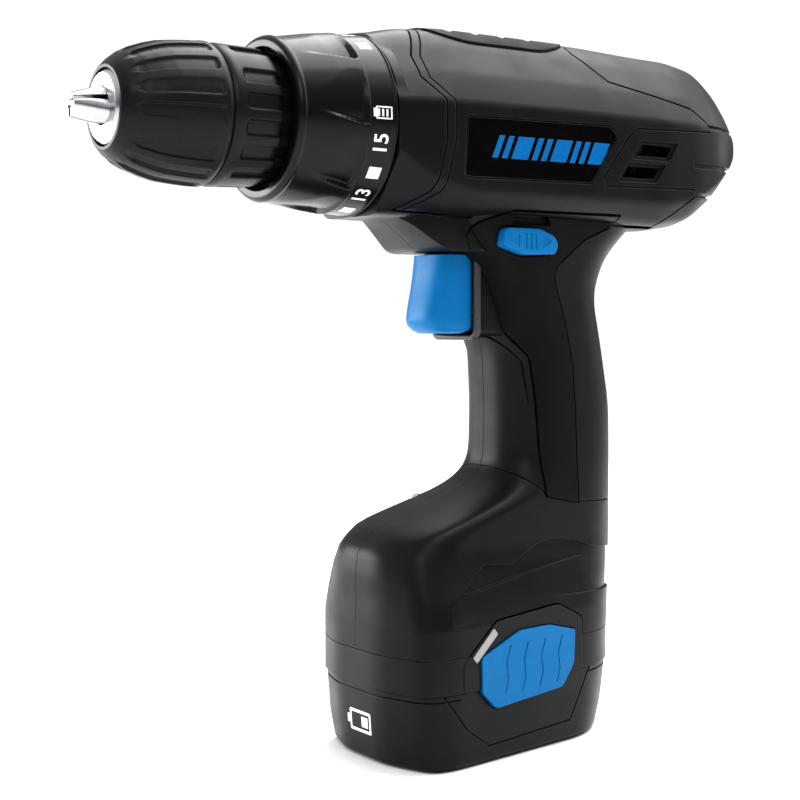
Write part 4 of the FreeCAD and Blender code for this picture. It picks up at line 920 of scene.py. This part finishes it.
def build_materials():
    black, grey = (0.0028, 0.0030, 0.0033), (0.0048, 0.0051, 0.0055)
    edge = (0.035, 0.036, 0.038)
    surface("housing_plastic", black, grey, (0.36, 0.46), edge=edge, grain=2200, depth=0.03, specular=0.16)
    surface("gear_case_plastic", black, grey, (0.30, 0.40), edge=edge, grain=2200, depth=0.03, specular=0.16)
    # Trigger bezel: a grey about ten times lighter than the housing's black, a painted sheen for its lit face, with
    # lighter worn edges.
    surface("rim_painted_sheen_plastic", (0.035, 0.034, 0.033), (0.05, 0.048, 0.047), (0.35, 0.45), edge=(0.10, 0.10, 0.10),
            specular=0.3)
    surface("collar_plastic", (0.002, 0.002, 0.002), (0.004, 0.004, 0.004), (0.20, 0.28), edge=edge, grain=900,
            depth=0.004, specular=0.22)
    surface("sleeve_plastic", black, grey, (0.32, 0.42), edge=edge, grain=1900, specular=0.2)
    surface("soft_grip_rubber", (0.0025, 0.0026, 0.0028), (0.0042, 0.0043, 0.0046), (0.52, 0.64), grain=3200,
            depth=0.05, edge=(0.012, 0.012, 0.012), specular=0.1)
    surface("label_gloss", (0.001, 0.001, 0.0012), (0.002, 0.002, 0.0022), (0.10, 0.16), grain=700, depth=0.002,
            specular=0.12)
    surface("blue_plastic", (0.0, 0.120, 0.30), (0.0, 0.133, 0.33), (0.40, 0.50), edge=(0.01, 0.19, 0.42),
            grain=2000, depth=0.02, specular=0.15)
    surface("battery_plastic", black, grey, (0.32, 0.42), edge=edge, grain=2200, depth=0.035, specular=0.17)
    surface("cell_wrap", (0.02, 0.20, 0.10), (0.02, 0.24, 0.12), (0.2, 0.3), grain=600, depth=0.01)
    surface("inner_plastic", (0.03, 0.03, 0.032), (0.045, 0.045, 0.047), (0.4, 0.5), edge=edge)
    around = (1.0, 0.04, 0.04)
    surface("chuck_steel", (0.40, 0.40, 0.41), (0.50, 0.50, 0.51), (0.16, 0.28), 1.0, 3000, 0.006,
            (0.70, 0.70, 0.71), stretch=around)
    surface("plated_steel", (0.55, 0.55, 0.53), (0.66, 0.65, 0.60), (0.22, 0.36), 1.0, 1500, 0.01, (0.8, 0.8, 0.78))
    surface("gear_steel", (0.33, 0.33, 0.34), (0.42, 0.42, 0.42), (0.30, 0.46), 1.0, 1800, 0.02, (0.6, 0.6, 0.6))
    surface("bearing_steel", (0.62, 0.62, 0.64), (0.70, 0.70, 0.72), (0.08, 0.16), 1.0, 2500, 0.003)
    surface("spring_steel", (0.42, 0.42, 0.43), (0.52, 0.52, 0.52), (0.22, 0.34), 1.0, 2500, 0.006)
    surface("rotor_steel", (0.22, 0.22, 0.23), (0.30, 0.30, 0.30), (0.35, 0.5), 1.0, 2600, 0.03, stretch=(1, 0, 0))
    surface("copper", (0.62, 0.24, 0.11), (0.75, 0.33, 0.16), (0.24, 0.38), 1.0, 1400, 0.03)
    surface("bronze", (0.50, 0.34, 0.16), (0.60, 0.42, 0.22), (0.32, 0.46), 1.0, 2000, 0.02)
    surface("carbon_brush", (0.02, 0.02, 0.02), (0.035, 0.035, 0.035), (0.4, 0.6), grain=2500, depth=0.03)
    surface("ferrite", (0.05, 0.05, 0.055), (0.075, 0.075, 0.08), (0.45, 0.6), 0.4, 2200, 0.03)
    surface("white_ink", (0.78, 0.78, 0.76), (0.70, 0.70, 0.69), (0.35, 0.5), grain=1500, depth=0.004)
    surface("blue_ink", (0.0, 0.115, 0.31), (0.0, 0.10, 0.28), (0.25, 0.35), grain=1500, depth=0.004, specular=0.2)
    # Pale grey for the sheet beside each release button: a painted highlight of a lit bevel.
    surface("painted_bevel_highlight", (0.24, 0.235, 0.23), (0.32, 0.315, 0.31), (0.25, 0.35), grain=1500, depth=0.01)


def dress(piece, material):
    piece.data.materials.clear()
    piece.data.materials.append(MATERIALS[material])


def shade(piece):
    piece.data.shade_smooth()
    piece.data.set_sharp_from_angle(angle=SHARP)


def place(piece, body, slot, *nodes):
    """A finished piece: shaded, given its slot's material, riding a body and standing for CAD nodes."""
    ride_only(piece, body, slot)
    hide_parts(*nodes)


def ride_only(piece, body, material):
    shade(piece)
    dress(piece, material)
    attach(piece, body)


def dress_frame():
    """Each CAD node that stays gets its slot's shader."""
    slots = {part["node"]: part["material_slot"] for part in frame["record"]["subparts"]}
    for name, node in frame["nodes"].items():
        if not node.material_slots:
            node.data.materials.append(None)
        for slot in node.material_slots:
            slot.material = MATERIALS[slots[name]]


# ---------------------------------------------------------------- printed marks

def build_marks():
    """Slanting blue bars on each label and a white cell symbol on the battery's front."""
    for side, sign in (("left", -1), ("right", 1)):
        skin = shell_between(side + "_label_bars", barrel_form, 0.38, 0.6)
        bars = []
        x = -14.0
        for width in (2.2, 2.2, 6.5) * 3:
            corners = [(x, 188), (x + width, 188), (x + width + 3, 195), (x + 3, 195)]
            bars.append(prism("bar", corners, "Y", *sorted((sign * 12, sign * 45))))
            x += width + 1.5
        common(skin, joined(bars))
        ride_only(skin, "housing", "blue_ink")
    outer = rounded([(-7.0, 8.5), (5.0, 8.5), (5.0, 15.5), (-7.0, 15.5)], 0.8)
    symbol = prism("cell_symbol", outer, "X", -50, -30)
    cut(symbol, prism("window", rounded(offset(outer, -1.0), 0.4), "X", -52, -28))
    add(symbol, prism("charge", [(-5.2, 10.3), (-1.6, 10.3), (-1.6, 13.7), (-5.2, 13.7)], "X", -50, -30),
        prism("contact", [(4.9, 10.6), (6.4, 10.6), (6.4, 13.4), (4.9, 13.4)], "X", -50, -30))
    film = cut(lower_form("film", -0.06, 0.0, SPLIT_Z), lower_form("film_inner", 0.2, -1.0, SPLIT_Z + 1))
    common(symbol, film)
    ride_only(symbol, "battery", "white_ink")


# ---------------------------------------------------------------- light, floor and camera

def build_world():
    """Bright overhead and dim at the horizon; the camera itself sees a plain pale backdrop."""
    world = bpy.data.worlds.new("studio")
    bpy.context.scene.world = world
    world.use_nodes = True
    tree = world.node_tree
    sky = tree.nodes["Background"]
    direction = tree.nodes.new("ShaderNodeTexCoord")
    parts = tree.nodes.new("ShaderNodeSeparateXYZ")
    tree.links.new(direction.outputs["Generated"], parts.inputs["Vector"])
    tree.links.new(ranged(tree, parts.outputs["Z"], 0.16, 0.95, 0.1, 0.85), sky.inputs["Strength"])
    sky.inputs["Color"].default_value = (0.97, 0.98, 1.0, 1.0)
    backdrop = tree.nodes.new("ShaderNodeBackground")
    backdrop.inputs["Color"].default_value = (0.90, 0.90, 0.90, 1.0)
    path = tree.nodes.new("ShaderNodeLightPath")
    blend = tree.nodes.new("ShaderNodeMixShader")
    tree.links.new(path.outputs["Is Camera Ray"], blend.inputs["Fac"])
    tree.links.new(sky.outputs["Background"], blend.inputs[1])
    tree.links.new(backdrop.outputs["Background"], blend.inputs[2])
    tree.links.new(blend.outputs["Shader"], tree.nodes["World Output"].inputs["Surface"])


def build_stage():
    floor = new_piece("studio_floor", [(-9000, -9000, -0.3), (9000, -9000, -0.3), (9000, 9000, -0.3),
                                       (-9000, 9000, -0.3)], [(0, 1, 2, 3)])
    surface("floor_paper", (0.86, 0.86, 0.86), (0.90, 0.90, 0.90), (0.55, 0.65), grain=300, depth=0.02)
    dress(floor, "floor_paper")
    bpy.context.scene.view_settings.view_transform = "Standard"
    bpy.context.scene.view_settings.look = "Medium High Contrast"
    build_world()
    sun = bpy.data.lights.new("soft_sun", "SUN")
    sun.energy = 1.15
    sun.angle = math.radians(70)
    overhead = bpy.data.objects.new("soft_sun", sun)
    bpy.context.scene.collection.objects.link(overhead)
    overhead.rotation_euler = Vector((-0.35, 0.15, -1.0)).to_track_quat("-Z", "Y").to_euler()
    target = Vector((0.0, 0.0, 0.12))
    for name, spot, size, power in (
            ("top_light", (0.45, 0.15, 1.25), (1.3, 1.1), 20),
            ("key_light", (-0.7, -0.9, 1.0), (0.8, 0.6), 4.5),
            ("front_glow", (-1.15, 1.35, 0.42), (1.4, 0.8), 30),
            ("rear_light", (1.2, -0.15, 0.6), (0.5, 0.7), 3.5)):
        light = bpy.data.lights.new(name, "AREA")
        light.shape = "RECTANGLE"
        light.size, light.size_y = size
        light.energy = power
        lamp = bpy.data.objects.new(name, light)
        bpy.context.scene.collection.objects.link(lamp)
        lamp.visible_camera = False
        lamp.location = spot
        lamp.rotation_euler = (target - Vector(spot)).to_track_quat("-Z", "Y").to_euler()


def build_camera():
    camera = bpy.data.objects.new("camera", bpy.data.cameras.new("camera"))
    bpy.context.scene.collection.objects.link(camera)
    azimuth, elevation = math.radians(34), math.radians(2.9)
    forward = Vector((math.sin(azimuth) * math.cos(elevation), math.cos(azimuth) * math.cos(elevation),
                      -math.sin(elevation)))
    camera.location = (-0.3143, -0.4229, 0.1387)
    camera.rotation_euler = forward.to_track_quat("-Z", "Y").to_euler()
    camera.data.lens = 72.3
    camera.data.sensor_width = 36
    bpy.context.scene.camera = camera


build_materials()
dress_frame()
build_camera()
build_housing()
build_chuck()
build_collar()
build_trigger()
build_selector()
build_battery()
build_marks()
build_stage()
